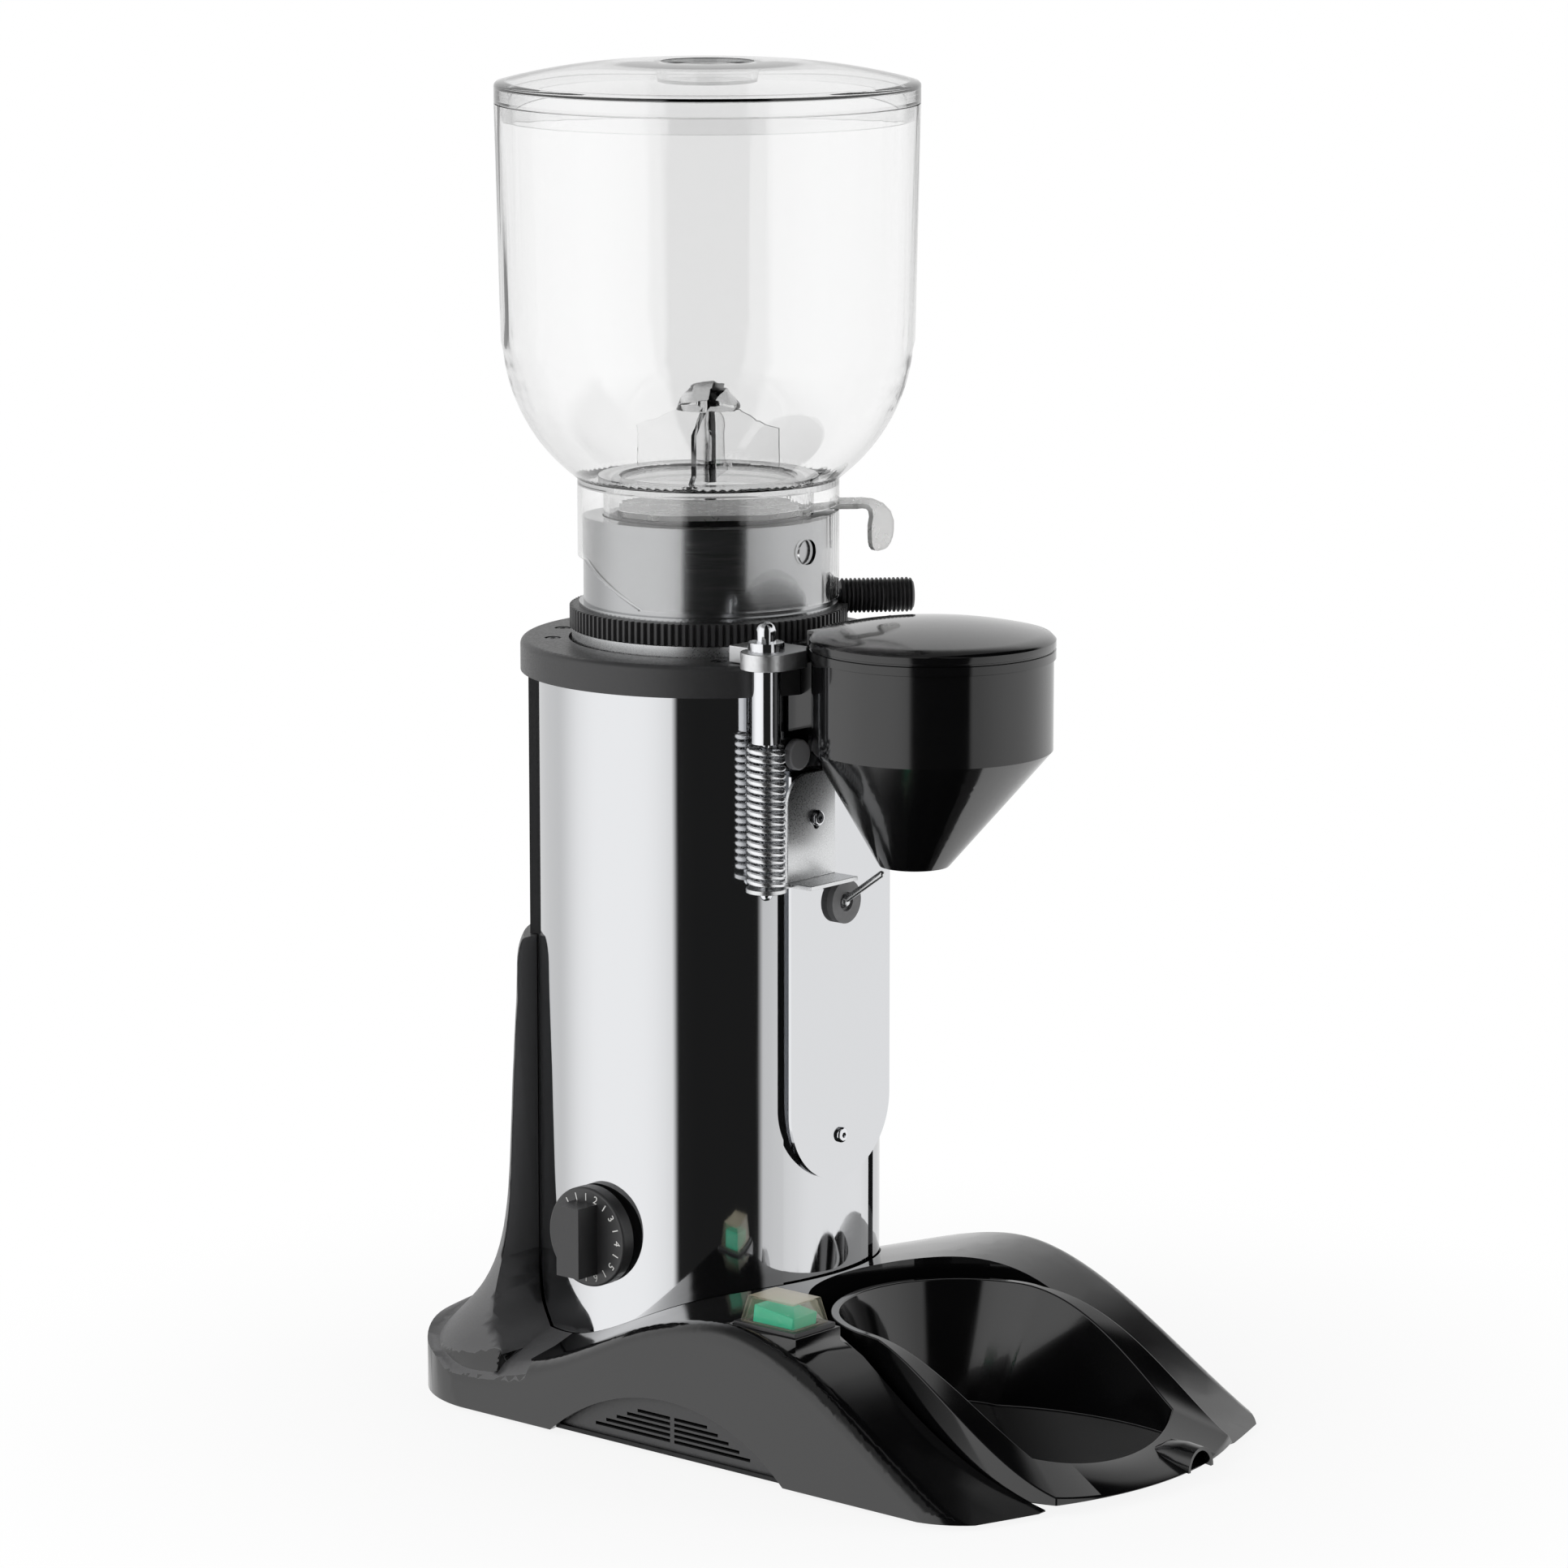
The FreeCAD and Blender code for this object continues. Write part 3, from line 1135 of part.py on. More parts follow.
def finger_guard():
    floor = THROAT_Z + THROAT_PLATE
    outer = NECK_R - NECK_WALL + GUARD_RING_WALL
    base = ring(outer, outer - 2 * GUARD_RING_WALL, floor, floor + GUARD_RING_T)
    cap = revolved(outline(rz(0, GUARD_CAP_Z), rz(GUARD_CAP_R, GUARD_CAP_Z),
                           dome_step(GUARD_CAP_R, GUARD_CAP_Z, GUARD_CAP_H)))
    under = GUARD_CAP_Z + GUARD_FIN_T
    stem = cylinder(GUARD_STEM_R, floor, under)
    half = GUARD_FIN_T / 2
    fin = outline(
        V(0, -half, floor), V(outer - GUARD_RING_WALL, -half, floor),
        V(GUARD_FIN_R, -half, floor + 2 * GUARD_RING_T), V(GUARD_FIN_R, -half, GUARD_FIN_Z),
        V(GUARD_CAP_R - GUARD_FIN_T, -half, GUARD_CAP_Z), V(GUARD_CAP_R - GUARD_FIN_T, -half, under),
        V(0, -half, under),
    )
    fin = extruded(fin, V(0, GUARD_FIN_T, 0))
    return joined([base, cap, stem] + [turned(fin, 90 * index + 30) for index in range(4)])


def hopper_lid():
    wall = HOPPER_WALL
    seat = HOPPER_RIM + SHEET_FIT
    rim = seat + LID_RIM
    crown = rim + LID_DOME
    lip = HOPPER_R - wall - LID_FIT
    cup = crown - LID_CUP_DEPTH
    middle = (HOPPER_R + LID_FLAT_R) / 2
    bulge = rim + LID_DOME * LID_BULGE
    return revolved(outline(
        rz(HOPPER_R, seat), rz(HOPPER_R, rim - LID_EDGE), rz(HOPPER_R - LID_EDGE, rim),
        (rz(middle, bulge), rz(LID_FLAT_R, crown)),
        rz(LID_CUP_R, crown), rz(LID_CUP_R - LID_EDGE, cup), rz(0, cup), rz(0, cup - wall),
        rz(LID_CUP_R - LID_EDGE + wall, cup - wall), rz(LID_CUP_R + wall, crown - wall),
        rz(LID_FLAT_R, crown - wall),
        (rz(middle, bulge - wall), rz(lip - wall, rim - wall)),
        rz(lip - wall - LID_EDGE, seat - LID_LIP), rz(lip - LID_EDGE, seat - LID_LIP), rz(lip, seat),
    ))


# Funnel
def funnel_form(inset):
    body = cylinder(FUNNEL_R - inset, FUNNEL_SHOULDER, FUNNEL_TOP, 0, FUNNEL_Y)
    upper = Part.Wire(Part.makeCircle(FUNNEL_R - inset, V(0, FUNNEL_Y, FUNNEL_SHOULDER)))
    lower = Part.Wire(Part.makeCircle(OUTLET_R - inset, V(0, OUTLET_Y, OUTLET_Z)))
    return body.fuse(Part.makeLoft([lower, upper], True, True))


def funnel_body():
    half = CHUTE_HALF - CHUTE_WALL
    window = block(-half, half, FUNNEL_Y, FUNNEL_Y + FUNNEL_R + OVERCUT, CHUTE_BOTTOM + CHUTE_WALL,
                   FUNNEL_TOP - CHUTE_WALL)
    return funnel_form(0).cut(funnel_form(FUNNEL_WALL)).cut(window)


def funnel_lid():
    seat = FUNNEL_TOP + SHEET_FIT
    band = seat + FUNNEL_LID_BAND
    groove = seat + FUNNEL_LID_GROOVE_Z
    half = FUNNEL_LID_GROOVE_HALF
    lip = FUNNEL_R - FUNNEL_WALL - RUN_FIT
    cut = FUNNEL_LID_R - FUNNEL_LID_GROOVE
    profile = outline(
        rz(0, seat), rz(lip - FUNNEL_WALL, seat), rz(lip - FUNNEL_WALL, seat - FUNNEL_LID_LIP),
        rz(lip, seat - FUNNEL_LID_LIP), rz(lip, seat), rz(FUNNEL_LID_R, seat),
        rz(FUNNEL_LID_R, groove - half), rz(cut, groove - half / 2), rz(cut, groove + half / 2),
        rz(FUNNEL_LID_R, groove + half), rz(FUNNEL_LID_R, band - FUNNEL_LID_ROUND),
        rz(FUNNEL_LID_R - FUNNEL_LID_ROUND, band),
        dome_step(FUNNEL_LID_R - FUNNEL_LID_ROUND, band, FUNNEL_LID_RISE),
    )
    dome = revolved(profile)
    dome.translate(V(0, FUNNEL_Y, 0))
    tail = block(-FUNNEL_LID_TAIL, FUNNEL_LID_TAIL, FUNNEL_Y, FUNNEL_LID_TAIL_Y, seat, band)
    return joined([dome, tail])


def chute():
    seat = -CHAMBER_R + CHUTE_WALL * 2
    duct = block(-CHUTE_HALF, CHUTE_HALF, FUNNEL_Y + FUNNEL_R / 2, seat, CHUTE_BOTTOM, FUNNEL_TOP)
    half = CHUTE_HALF - CHUTE_WALL
    duct = duct.cut(block(-half, half, FUNNEL_Y, 0, CHUTE_BOTTOM + CHUTE_WALL, FUNNEL_TOP - CHUTE_WALL))
    lug = block(KNOB_X - LUG_HALF, -CHUTE_HALF + CHUTE_WALL, FRONT_PLATE_FACE - LUG_T, FRONT_PLATE_FACE,
                LUG_BOTTOM, CHUTE_BOTTOM + CHUTE_WALL)
    stud = rod(KNOB_STUD_R + RUN_FIT, V(KNOB_X, 0, KNOB_Z), V(KNOB_X, 2 * FRONT_PLATE_FACE, KNOB_Z))
    shape = joined([duct, lug.cut(stud)])
    fits = [cylinder(CHAMBER_R + CHUTE_FIT, CHAMBER_BASE, CAP_TOP),
            cylinder(THREAD_RING_R + CHUTE_FIT, CAP_BOTTOM, FUNNEL_TOP + OVERCUT),
            cylinder(FUNNEL_R + CHUTE_FIT, OUTLET_Z, FUNNEL_TOP + OVERCUT, 0, FUNNEL_Y)]
    return shape.cut(joined(fits))


def thumb_knob():
    face = FRONT_PLATE_FACE - LUG_T - RUN_FIT
    head = rod(KNOB_R, V(KNOB_X, face - KNOB_T, KNOB_Z), V(KNOB_X, face, KNOB_Z))
    rims = [edge for edge in head.Edges if edge.Length > KNOB_R * 4]
    head = head.makeFillet(KNOB_ROUND, rims)
    stud = rod(KNOB_STUD_R, V(KNOB_X, face - KNOB_T / 2, KNOB_Z), V(KNOB_X, FRONT_PLATE_FACE, KNOB_Z))
    return joined([head, stud])


# Front plate and portafilter rest
def front_screw_spots():
    return [(0.0, FRONT_SCREW_LOW), (FRONT_SCREW_X, FRONT_SCREW_HIGH)]


def screw_spots():
    return front_screw_spots() + [(REST_SCREW_X, REST_SCREW_Z)]


def front_plate():
    half = FRONT_PLATE_HALF
    back = FRONT_PLATE_BACK
    middle = FRONT_PLATE_BOTTOM + half
    wire = outline(
        V(-half, back, FRONT_PLATE_TOP), V(-half, back, middle),
        (V(0, back, FRONT_PLATE_BOTTOM), V(half, back, middle)),
        V(half, back, FRONT_PLATE_TOP),
    )
    plate = extruded(wire, V(0, -FRONT_PLATE_T, 0))
    holes = [rod(LEVER_HOLE, V(0, 0, TRIGGER_Z), V(0, 2 * back, TRIGGER_Z))]
    for x, z in screw_spots():
        holes.append(rod(SCREW_R + SCREW_FIT, V(x, 0, z), V(x, 2 * back, z)))
    return plate.cut(joined(holes))


def front_screws():
    screw = button_screw(FRONT_PLATE_T + SHEET_FIT + TUBE_WALL)
    screws = [facing(screw, V(0, -1, 0), V(x, FRONT_PLATE_FACE, z)) for x, z in front_screw_spots()]
    return Part.makeCompound(screws)


def rest_screw():
    screw = button_screw(REST_T + 2 * RUN_FIT + FRONT_PLATE_T + SHEET_FIT + TUBE_WALL)
    return facing(screw, V(0, -1, 0), V(REST_SCREW_X, REST_FACE - RUN_FIT, REST_SCREW_Z))


def portafilter_rest():
    bend = REST_ROUND * ARC_MID
    wire = outline(
        V(REST_LEFT, REST_BACK, REST_BOTTOM), V(REST_LEFT, REST_BACK, REST_TOP - REST_ROUND),
        (V(REST_LEFT + bend, REST_BACK, REST_TOP - bend), V(REST_LEFT + REST_ROUND, REST_BACK, REST_TOP)),
        V(REST_RIGHT, REST_BACK, REST_TOP), V(REST_RIGHT, REST_BACK, REST_BOTTOM),
    )
    plate = extruded(wire, V(0, -REST_T, 0))
    shelf = block(REST_LEFT, REST_RIGHT, REST_FACE - REST_REACH, REST_FACE, REST_BOTTOM, REST_SHELF)
    arm = block(POST_X, REST_LEFT + REST_T, REST_FACE - REST_T, REST_BACK, REST_BOTTOM, REST_SHELF)
    lug = cylinder(LUG_R, REST_BOTTOM, REST_SHELF, POST_X, POST_Y)
    slot_half = SCREW_R + SCREW_FIT
    slot = joined([
        rod(slot_half, V(REST_SCREW_X, 0, REST_SCREW_Z), V(REST_SCREW_X, 2 * REST_FACE, REST_SCREW_Z)),
        rod(slot_half, V(REST_SCREW_X, 0, REST_SCREW_Z - REST_TRAVEL),
            V(REST_SCREW_X, 2 * REST_FACE, REST_SCREW_Z - REST_TRAVEL)),
        block(REST_SCREW_X - slot_half, REST_SCREW_X + slot_half, 2 * REST_FACE, 0,
              REST_SCREW_Z - REST_TRAVEL, REST_SCREW_Z),
    ])
    bore = cylinder(POST_ROD_R + POST_FIT, REST_BOTTOM - OVERCUT, REST_SHELF + OVERCUT, POST_X, POST_Y)
    return joined([plate, shelf, arm, lug]).cut(slot.fuse(bore))


def post_bracket():
    head = cylinder(BRACKET_HEAD_R, BRACKET_BOTTOM, BRACKET_TOP, POST_X, POST_Y)
    bar = block(POST_X, BRACKET_RIGHT, POST_Y - BRACKET_HEAD_R, POST_Y + BRACKET_HEAD_R,
                BRACKET_BOTTOM, BRACKET_TOP)
    foot = block(BRACKET_FOOT_X - BRACKET_FOOT_HALF, BRACKET_FOOT_X + BRACKET_FOOT_HALF,
                 POST_Y, BRACKET_FOOT_Y, BRACKET_BOTTOM, BRACKET_TOP)
    cuts = [cylinder(POST_STUD_R + SHAFT_FIT, BRACKET_BOTTOM, BRACKET_TOP, POST_X, POST_Y),
            cylinder(FUNNEL_LID_R + 2 * POCKET_FIT, BRACKET_BOTTOM, BRACKET_TOP, 0, FUNNEL_Y),
            block(-CHUTE_HALF - CHUTE_FIT, 0, POST_Y - BRACKET_HEAD_R, BRACKET_FOOT_Y,
                  BRACKET_BOTTOM, BRACKET_TOP)]
    return joined([head, bar, foot]).cut(joined(cuts))


def guide_post():
    sleeve = cylinder(POST_SLEEVE_R, SLEEVE_BOTTOM, BRACKET_BOTTOM, POST_X, POST_Y)
    stud = cylinder(POST_STUD_R, BRACKET_BOTTOM, BRACKET_TOP + POST_NUT_T, POST_X, POST_Y)
    shaft = cylinder(POST_ROD_R, POST_TIP + POST_ROD_R, SLEEVE_BOTTOM, POST_X, POST_Y)
    tip = Part.makeSphere(POST_ROD_R, V(POST_X, POST_Y, POST_TIP + POST_ROD_R))
    return joined([sleeve, stud, shaft, tip])


def post_nut():
    top = BRACKET_TOP + POST_NUT_T
    step = 360.0 / POST_NUT_TEETH
    points = []
    for tooth in range(POST_NUT_TEETH):
        points.append(polar(POST_NUT_R, step * tooth, BRACKET_TOP))
        points.append(polar(POST_NUT_R - POST_NUT_TOOTH, step * (tooth + 0.5), BRACKET_TOP))
    nut = extruded(outline(*points), V(0, 0, POST_NUT_T))
    nut = nut.cut(cylinder(POST_STUD_R + SHAFT_FIT, BRACKET_TOP, top))
    middle = top + DOME_H - DOME_R
    crown = Part.makeSphere(DOME_R, V(0, 0, middle)).cut(cylinder(DOME_R, top - DOME_R, top))
    shape = joined([nut, cylinder(DOME_R, top, middle), crown])
    shape.translate(V(POST_X, POST_Y, 0))
    return shape


def helix_point(turn, z0, pitch):
    angle = 2 * math.pi * turn
    place = V(POST_X + SPRING_R * math.cos(angle), POST_Y + SPRING_R * math.sin(angle), z0 + pitch * turn)
    slope = V(-SPRING_R * math.sin(angle), SPRING_R * math.cos(angle), pitch / (2 * math.pi))
    return place, slope.normalize()


def tangent_arc(start, knee, end):
    """Arc from start to end that touches the lines to the knee point between them."""
    middle = start.add(end).multiply(0.5)
    rise = knee.sub(middle)
    half_chord = end.sub(start).Length / 2
    sag = half_chord * math.tan(math.atan2(rise.Length, half_chord) / 2)
    return Part.Arc(start, middle.add(rise.normalize().multiply(sag)), end).toShape()


def biarc(start, start_way, end, end_way):
    chord = end.sub(start)
    ways = start_way.add(end_way)
    a = ways.dot(ways) - 4
    b = chord.dot(ways)
    reach = (b - math.sqrt(b * b - a * chord.dot(chord))) / a
    first = start.add(V(start_way).multiply(reach))
    second = end.sub(V(end_way).multiply(reach))
    meet = first.add(second).multiply(0.5)
    return [tangent_arc(start, first, meet), tangent_arc(meet, second, end)]


def rest_spring():
    lead = 2 * SPRING_WIRE
    low = REST_SHELF + SPRING_SEAT + SPRING_WIRE
    high = SLEEVE_BOTTOM - SPRING_SEAT - SPRING_WIRE
    pitch = (high - low) / (SPRING_TURNS + 2 * lead / (2 * math.pi * SPRING_R))
    z0 = low + pitch * lead / (2 * math.pi * SPRING_R)
    quarters = [helix_point(step / 4, z0, pitch) for step in range(4 * SPRING_TURNS + 1)]
    edges = []
    first, first_way = quarters[0]
    last, last_way = quarters[-1]
    edges.append(Part.LineSegment(first.sub(V(first_way).multiply(lead)), first).toShape())
    for (start, start_way), (end, end_way) in zip(quarters, quarters[1:]):
        edges += biarc(start, start_way, end, end_way)
    edges.append(Part.LineSegment(last, last.add(V(last_way).multiply(lead))).toShape())
    begin = first.sub(V(first_way).multiply(lead))
    section = Part.Wire(Part.makeCircle(SPRING_WIRE, begin, first_way))
    samples = [helix_point(step / 24, z0, pitch)[0] for step in range(24 * SPRING_TURNS + 1)]
    gap = min(samples[0].distanceToPoint(point) for point in samples[18:30]) - 2 * SPRING_WIRE
    print("rest spring, least gap to itself: %.2f mm" % gap)
    return Part.Wire(edges).makePipeShell([section], True, False)


# Trigger
def trigger_boot():
    disc = rod(BOOT_R, V(0, FRONT_PLATE_FACE, TRIGGER_Z), V(0, FRONT_PLATE_FACE - BOOT_T, TRIGGER_Z))
    seat = rod(BALL_R + RUN_FIT, V(0, 0, TRIGGER_Z), V(0, 2 * FRONT_PLATE_FACE, TRIGGER_Z))
    mouth = rod(BOOT_MOUTH_R, V(0, TRIGGER_Y, TRIGGER_Z), V(0, 2 * FRONT_PLATE_FACE, TRIGGER_Z))
    return disc.cut(seat).cut(mouth)


def trigger_lever():
    pivot = V(0, TRIGGER_Y, TRIGGER_Z)
    tip = V(0, TRIGGER_Y - LEVER_REACH, TRIGGER_Z + LEVER_RISE)
    inner = V(0, TRIGGER_Y + LEVER_STUB, TRIGGER_Z)
    return joined([Part.makeSphere(BALL_R, pivot), rod(LEVER_R, pivot, tip), Part.makeSphere(LEVER_R, tip),
                   rod(LEVER_R, pivot, inner)])


def microswitch():
    corner = TUBE_INNER - SWITCH_INSET
    front = -math.sqrt(corner ** 2 - SWITCH_HALF ** 2)
    return block(-SWITCH_HALF, SWITCH_HALF, front, front + SWITCH_DEPTH, TRIGGER_Z - SWITCH_HEIGHT / 2,
                 TRIGGER_Z + SWITCH_HEIGHT / 2)


# Timer
def timer_dial():
    back = -COLUMN_R - DIAL_LIFT
    face = back - DIAL_T
    axis = V(0, DIAL_Y, DIAL_Z)
    skirt = rod(DIAL_R, axis.add(V(back, 0, 0)), axis.add(V(face, 0, 0)))
    rims = [edge for edge in skirt.Edges if abs(edge.CenterOfMass.x - face) < 0.01]
    skirt = skirt.makeFillet(DIAL_ROUND, rims)
    grip = block(face - DIAL_GRIP, face, DIAL_Y - DIAL_GRIP_HALF, DIAL_Y + DIAL_GRIP_HALF,
                 DIAL_Z - DIAL_GRIP_LENGTH, DIAL_Z + DIAL_GRIP_LENGTH)
    end = TIMER_DEPTH / 2 - RUN_FIT - timer_front()
    shaft = rod(DIAL_SHAFT_R, axis.add(V(back, 0, 0)), axis.add(V(end, 0, 0)))
    return joined([skirt, grip, shaft])


def timer_front():
    """Distance from the column's axis at which the timer's corners meet the tube."""
    return math.sqrt((TUBE_INNER - SWITCH_INSET) ** 2 - (TIMER_SIZE / 2 + abs(DIAL_Y)) ** 2)


def timer_unit():
    half = TIMER_SIZE / 2
    front = -timer_front()
    body = block(front, front + TIMER_DEPTH, DIAL_Y - half, DIAL_Y + half, DIAL_Z - half, DIAL_Z + half)
    end = front + TIMER_DEPTH / 2
    return body.cut(rod(DIAL_SHAFT_R + RUN_FIT, V(front, DIAL_Y, DIAL_Z), V(end, DIAL_Y, DIAL_Z)))


# Power switch
def power_switch():
    bezel_top = POWER_Z + BEZEL_T
    body = joined([power_box(BEZEL_WIDTH, BEZEL_LENGTH, POWER_Z, bezel_top),
                   power_box(POWER_BODY_WIDTH, POWER_BODY_LENGTH, POWER_Z - POWER_BODY_DEPTH, POWER_Z)])
    well = power_box(POWER_BODY_WIDTH - 2 * POWER_WALL, POWER_BODY_LENGTH - 2 * POWER_WALL,
                     POWER_Z - POWER_WELL, bezel_top)
    return body.cut(well)


def switch_rocker():
    width = POWER_BODY_WIDTH - 2 * POWER_WALL - 2 * ROCKER_FIT
    length = POWER_BODY_LENGTH - 2 * POWER_WALL - 6 * ROCKER_FIT
    top = POWER_Z + BEZEL_T + ROCKER_RISE + ROCKER_H / 2
    rocker = power_box(width, length, top - ROCKER_H, top)
    pivot = V(POWER_X, POWER_Y, POWER_Z + BEZEL_T)
    rocker.rotate(pivot, V(1, 0, 0), ROCKER_TILT)
    return rocker


def frustum(width, length, z0, z1, lean):
    def loop(shrink, z):
        x = width / 2 - shrink
        y = length / 2 - shrink
        return outline(V(POWER_X - x, POWER_Y - y, z), V(POWER_X + x, POWER_Y - y, z),
                       V(POWER_X + x, POWER_Y + y, z), V(POWER_X - x, POWER_Y + y, z))
    return Part.makeLoft([loop(0, z0), loop(lean, z1)], True, True)


def splash_cover():
    seat = POWER_Z + BEZEL_T
    width = POWER_BODY_WIDTH + 2 * COVER_WALL
    length = POWER_BODY_LENGTH + 2 * COVER_WALL
    outer = frustum(width, length, seat, seat + COVER_H, COVER_LEAN)
    inner = frustum(width - 2 * COVER_WALL, length - 2 * COVER_WALL, seat, seat + COVER_H - COVER_WALL,
                    COVER_LEAN)
    return outer.cut(inner)


NODES = {
    "base_shell": base_shell,
    "base_plate": base_plate,
    "rubber_feet": rubber_feet,
    "foot_screws": foot_screws,
    "vent_grille_left": lambda: vent_grille(-1),
    "vent_grille_right": lambda: vent_grille(1),
    "cord_gland": cord_gland,
    "grounds_tray": grounds_tray,
    "column_tube": column_tube,
    "cladding_left": lambda: cladding(-1),
    "cladding_right": lambda: cladding(1),
    "rear_panel": rear_panel,
    "top_cap": top_cap,
    "cap_screws": cap_screws,
    "grinding_chamber": grinding_chamber,
    "thread_ring": thread_ring,
    "upper_burr": upper_burr,
    "lower_burr": lower_burr,
    "burr_carrier": burr_carrier,
    "carrier_nut": carrier_nut,
    "drive_shaft": drive_shaft,
    "motor_rotor": motor_rotor,
    "motor_stator": motor_stator,
    "stator_windings": stator_windings,
    "upper_bell": upper_bell,
    "lower_bell": lower_bell,
    "shaft_bearings": shaft_bearings,
    "tie_bolts": tie_bolts,
    "cooling_fan": cooling_fan,
    "start_capacitor": start_capacitor,
    "control_board": control_board,
    "adjusting_collar": adjusting_collar,
    "gear_ring": gear_ring,
    "handle_rod": handle_rod,
    "handle_grip": handle_grip,
    "hopper_bowl": hopper_bowl,
    "hopper_gate": hopper_gate,
    "finger_guard": finger_guard,
    "hopper_lid": hopper_lid,
    "funnel_body": funnel_body,
    "funnel_lid": funnel_lid,
    "chute": chute,
    "thumb_knob": thumb_knob,
    "front_plate": front_plate,
    "front_screws": front_screws,
    "rest_screw": rest_screw,
    "portafilter_rest": portafilter_rest,
    "post_bracket": post_bracket,
    "guide_post": guide_post,
    "post_nut": post_nut,
    "rest_spring": rest_spring,
    "trigger_boot": trigger_boot,
    "trigger_lever": trigger_lever,
    "microswitch": microswitch,
    "timer_dial": timer_dial,
    "timer_unit": timer_unit,
    "power_switch": power_switch,
    "switch_rocker": switch_rocker,
    "splash_cover": splash_cover,
}

os.makedirs("parts", exist_ok=True)
for name, make in NODES.items():
    shape = make()
    shape.translate(V(0, AXIS_Y, 0))
    shape.exportStep("parts/%s.step" % name)
    box = shape.BoundBox
    print("%-18s solids %d valid %s volume %.0f  x %.1f %.1f  y %.1f %.1f  z %.1f %.1f" % (
        name, len(shape.Solids), shape.isValid(), shape.Volume, box.XMin, box.XMax, box.YMin, box.YMax,
        box.ZMin, box.ZMax))
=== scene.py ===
# %% [markdown]
# # An espresso grinder on a white table
# The grinder comes as a CAD assembly: a polished column on a black base, a clear bean hopper on
# top and a dosing funnel in front. Most of its shapes are already right, so this lesson dresses
# them. It gives every piece the material of the real one, draws a few pieces again where a CAD
# mesh is too coarse, grows what repeats, such as the turns of the wire spring and the marks of the
# dial, and then sets up the studio and the camera.

# %% Load the assembly
import json
import math

import bmesh
import bpy
from mathutils import Matrix, Vector


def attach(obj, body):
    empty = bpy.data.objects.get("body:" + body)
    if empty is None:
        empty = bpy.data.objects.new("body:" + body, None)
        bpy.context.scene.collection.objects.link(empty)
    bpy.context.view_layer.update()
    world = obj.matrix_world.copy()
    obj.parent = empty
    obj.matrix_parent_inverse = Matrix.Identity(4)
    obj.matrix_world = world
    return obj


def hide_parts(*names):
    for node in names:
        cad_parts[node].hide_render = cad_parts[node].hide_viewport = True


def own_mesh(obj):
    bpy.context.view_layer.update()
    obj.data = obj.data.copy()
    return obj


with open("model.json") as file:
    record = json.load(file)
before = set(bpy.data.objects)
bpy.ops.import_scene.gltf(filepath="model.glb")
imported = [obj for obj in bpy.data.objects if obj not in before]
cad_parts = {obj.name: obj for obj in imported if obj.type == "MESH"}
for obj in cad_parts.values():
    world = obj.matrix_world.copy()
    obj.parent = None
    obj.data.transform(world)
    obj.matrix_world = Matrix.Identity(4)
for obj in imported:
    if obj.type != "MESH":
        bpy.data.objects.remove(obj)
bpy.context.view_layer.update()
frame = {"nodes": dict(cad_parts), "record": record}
MM = 0.001
AXIS_Y = 85.5 * MM
bodies = frame["record"]["behaviour"]["bodies"]
BODY_OF = {node: body for body, nodes in bodies.items() for node in nodes}

# %% [markdown]
# ## Two small tools
# Shaders count light in linear values, while a paint program shows sRGB, so one function turns a
# hex colour into what a shader takes. A node tree is easier to read when each node is one line,
# so a second function adds a node, sets its sockets or properties and links what feeds it.

# %% Colours and nodes
def linear(hex_colour):
    """An sRGB hex colour as linear red, green, blue and alpha."""
    parts = [int(hex_colour[i:i + 2], 16) / 255 for i in (1, 3, 5)]
    curve = [c / 12.92 if c <= 0.04045 else ((c + 0.055) / 1.055) ** 2.4 for c in parts]
    return (*curve, 1.0)


def add_node(tree, kind, settings=None, links=None):
    """Adds a node. A setting names a socket, by word or number, or a property of the node."""
    node = tree.nodes.new(kind)
    for key, value in (settings or {}).items():
        if isinstance(key, int) or key in node.inputs:
            node.inputs[key].default_value = value
        else:
            setattr(node, key, value)
    for key, source in (links or {}).items():
        tree.links.new(source, node.inputs[key])
    return node


print("mid grey in linear light:", round(linear("#808080")[0], 3))

# %% [markdown]
# ## Finishes
# A finish starts from one Principled shader. What tells two black plastics or two steels apart is
# the grain: how large its patches are, which way they are drawn out, how much rougher the dull
# patches are and how high the grain stands. The grain reads Object coordinates, so it has a real
# size in millimetres and stays on its piece when the piece moves.

# %% A finish and its grain
def start_finish(name, colour, rough, metal=0.0, **sockets):
    """A new material with a Principled shader; sockets are named with _ for each space."""
    material = bpy.data.materials.new(name)
    material.use_nodes = True
    tree = material.node_tree
    tree.nodes.clear()
    values = {key.replace("_", " "): value for key, value in sockets.items()}
    values.update({"Base Color": linear(colour), "Roughness": rough, "Metallic": metal})
    shader = add_node(tree, "ShaderNodeBsdfPrincipled", values)
    add_node(tree, "ShaderNodeOutputMaterial", links={"Surface": shader.outputs[0]})
    return material


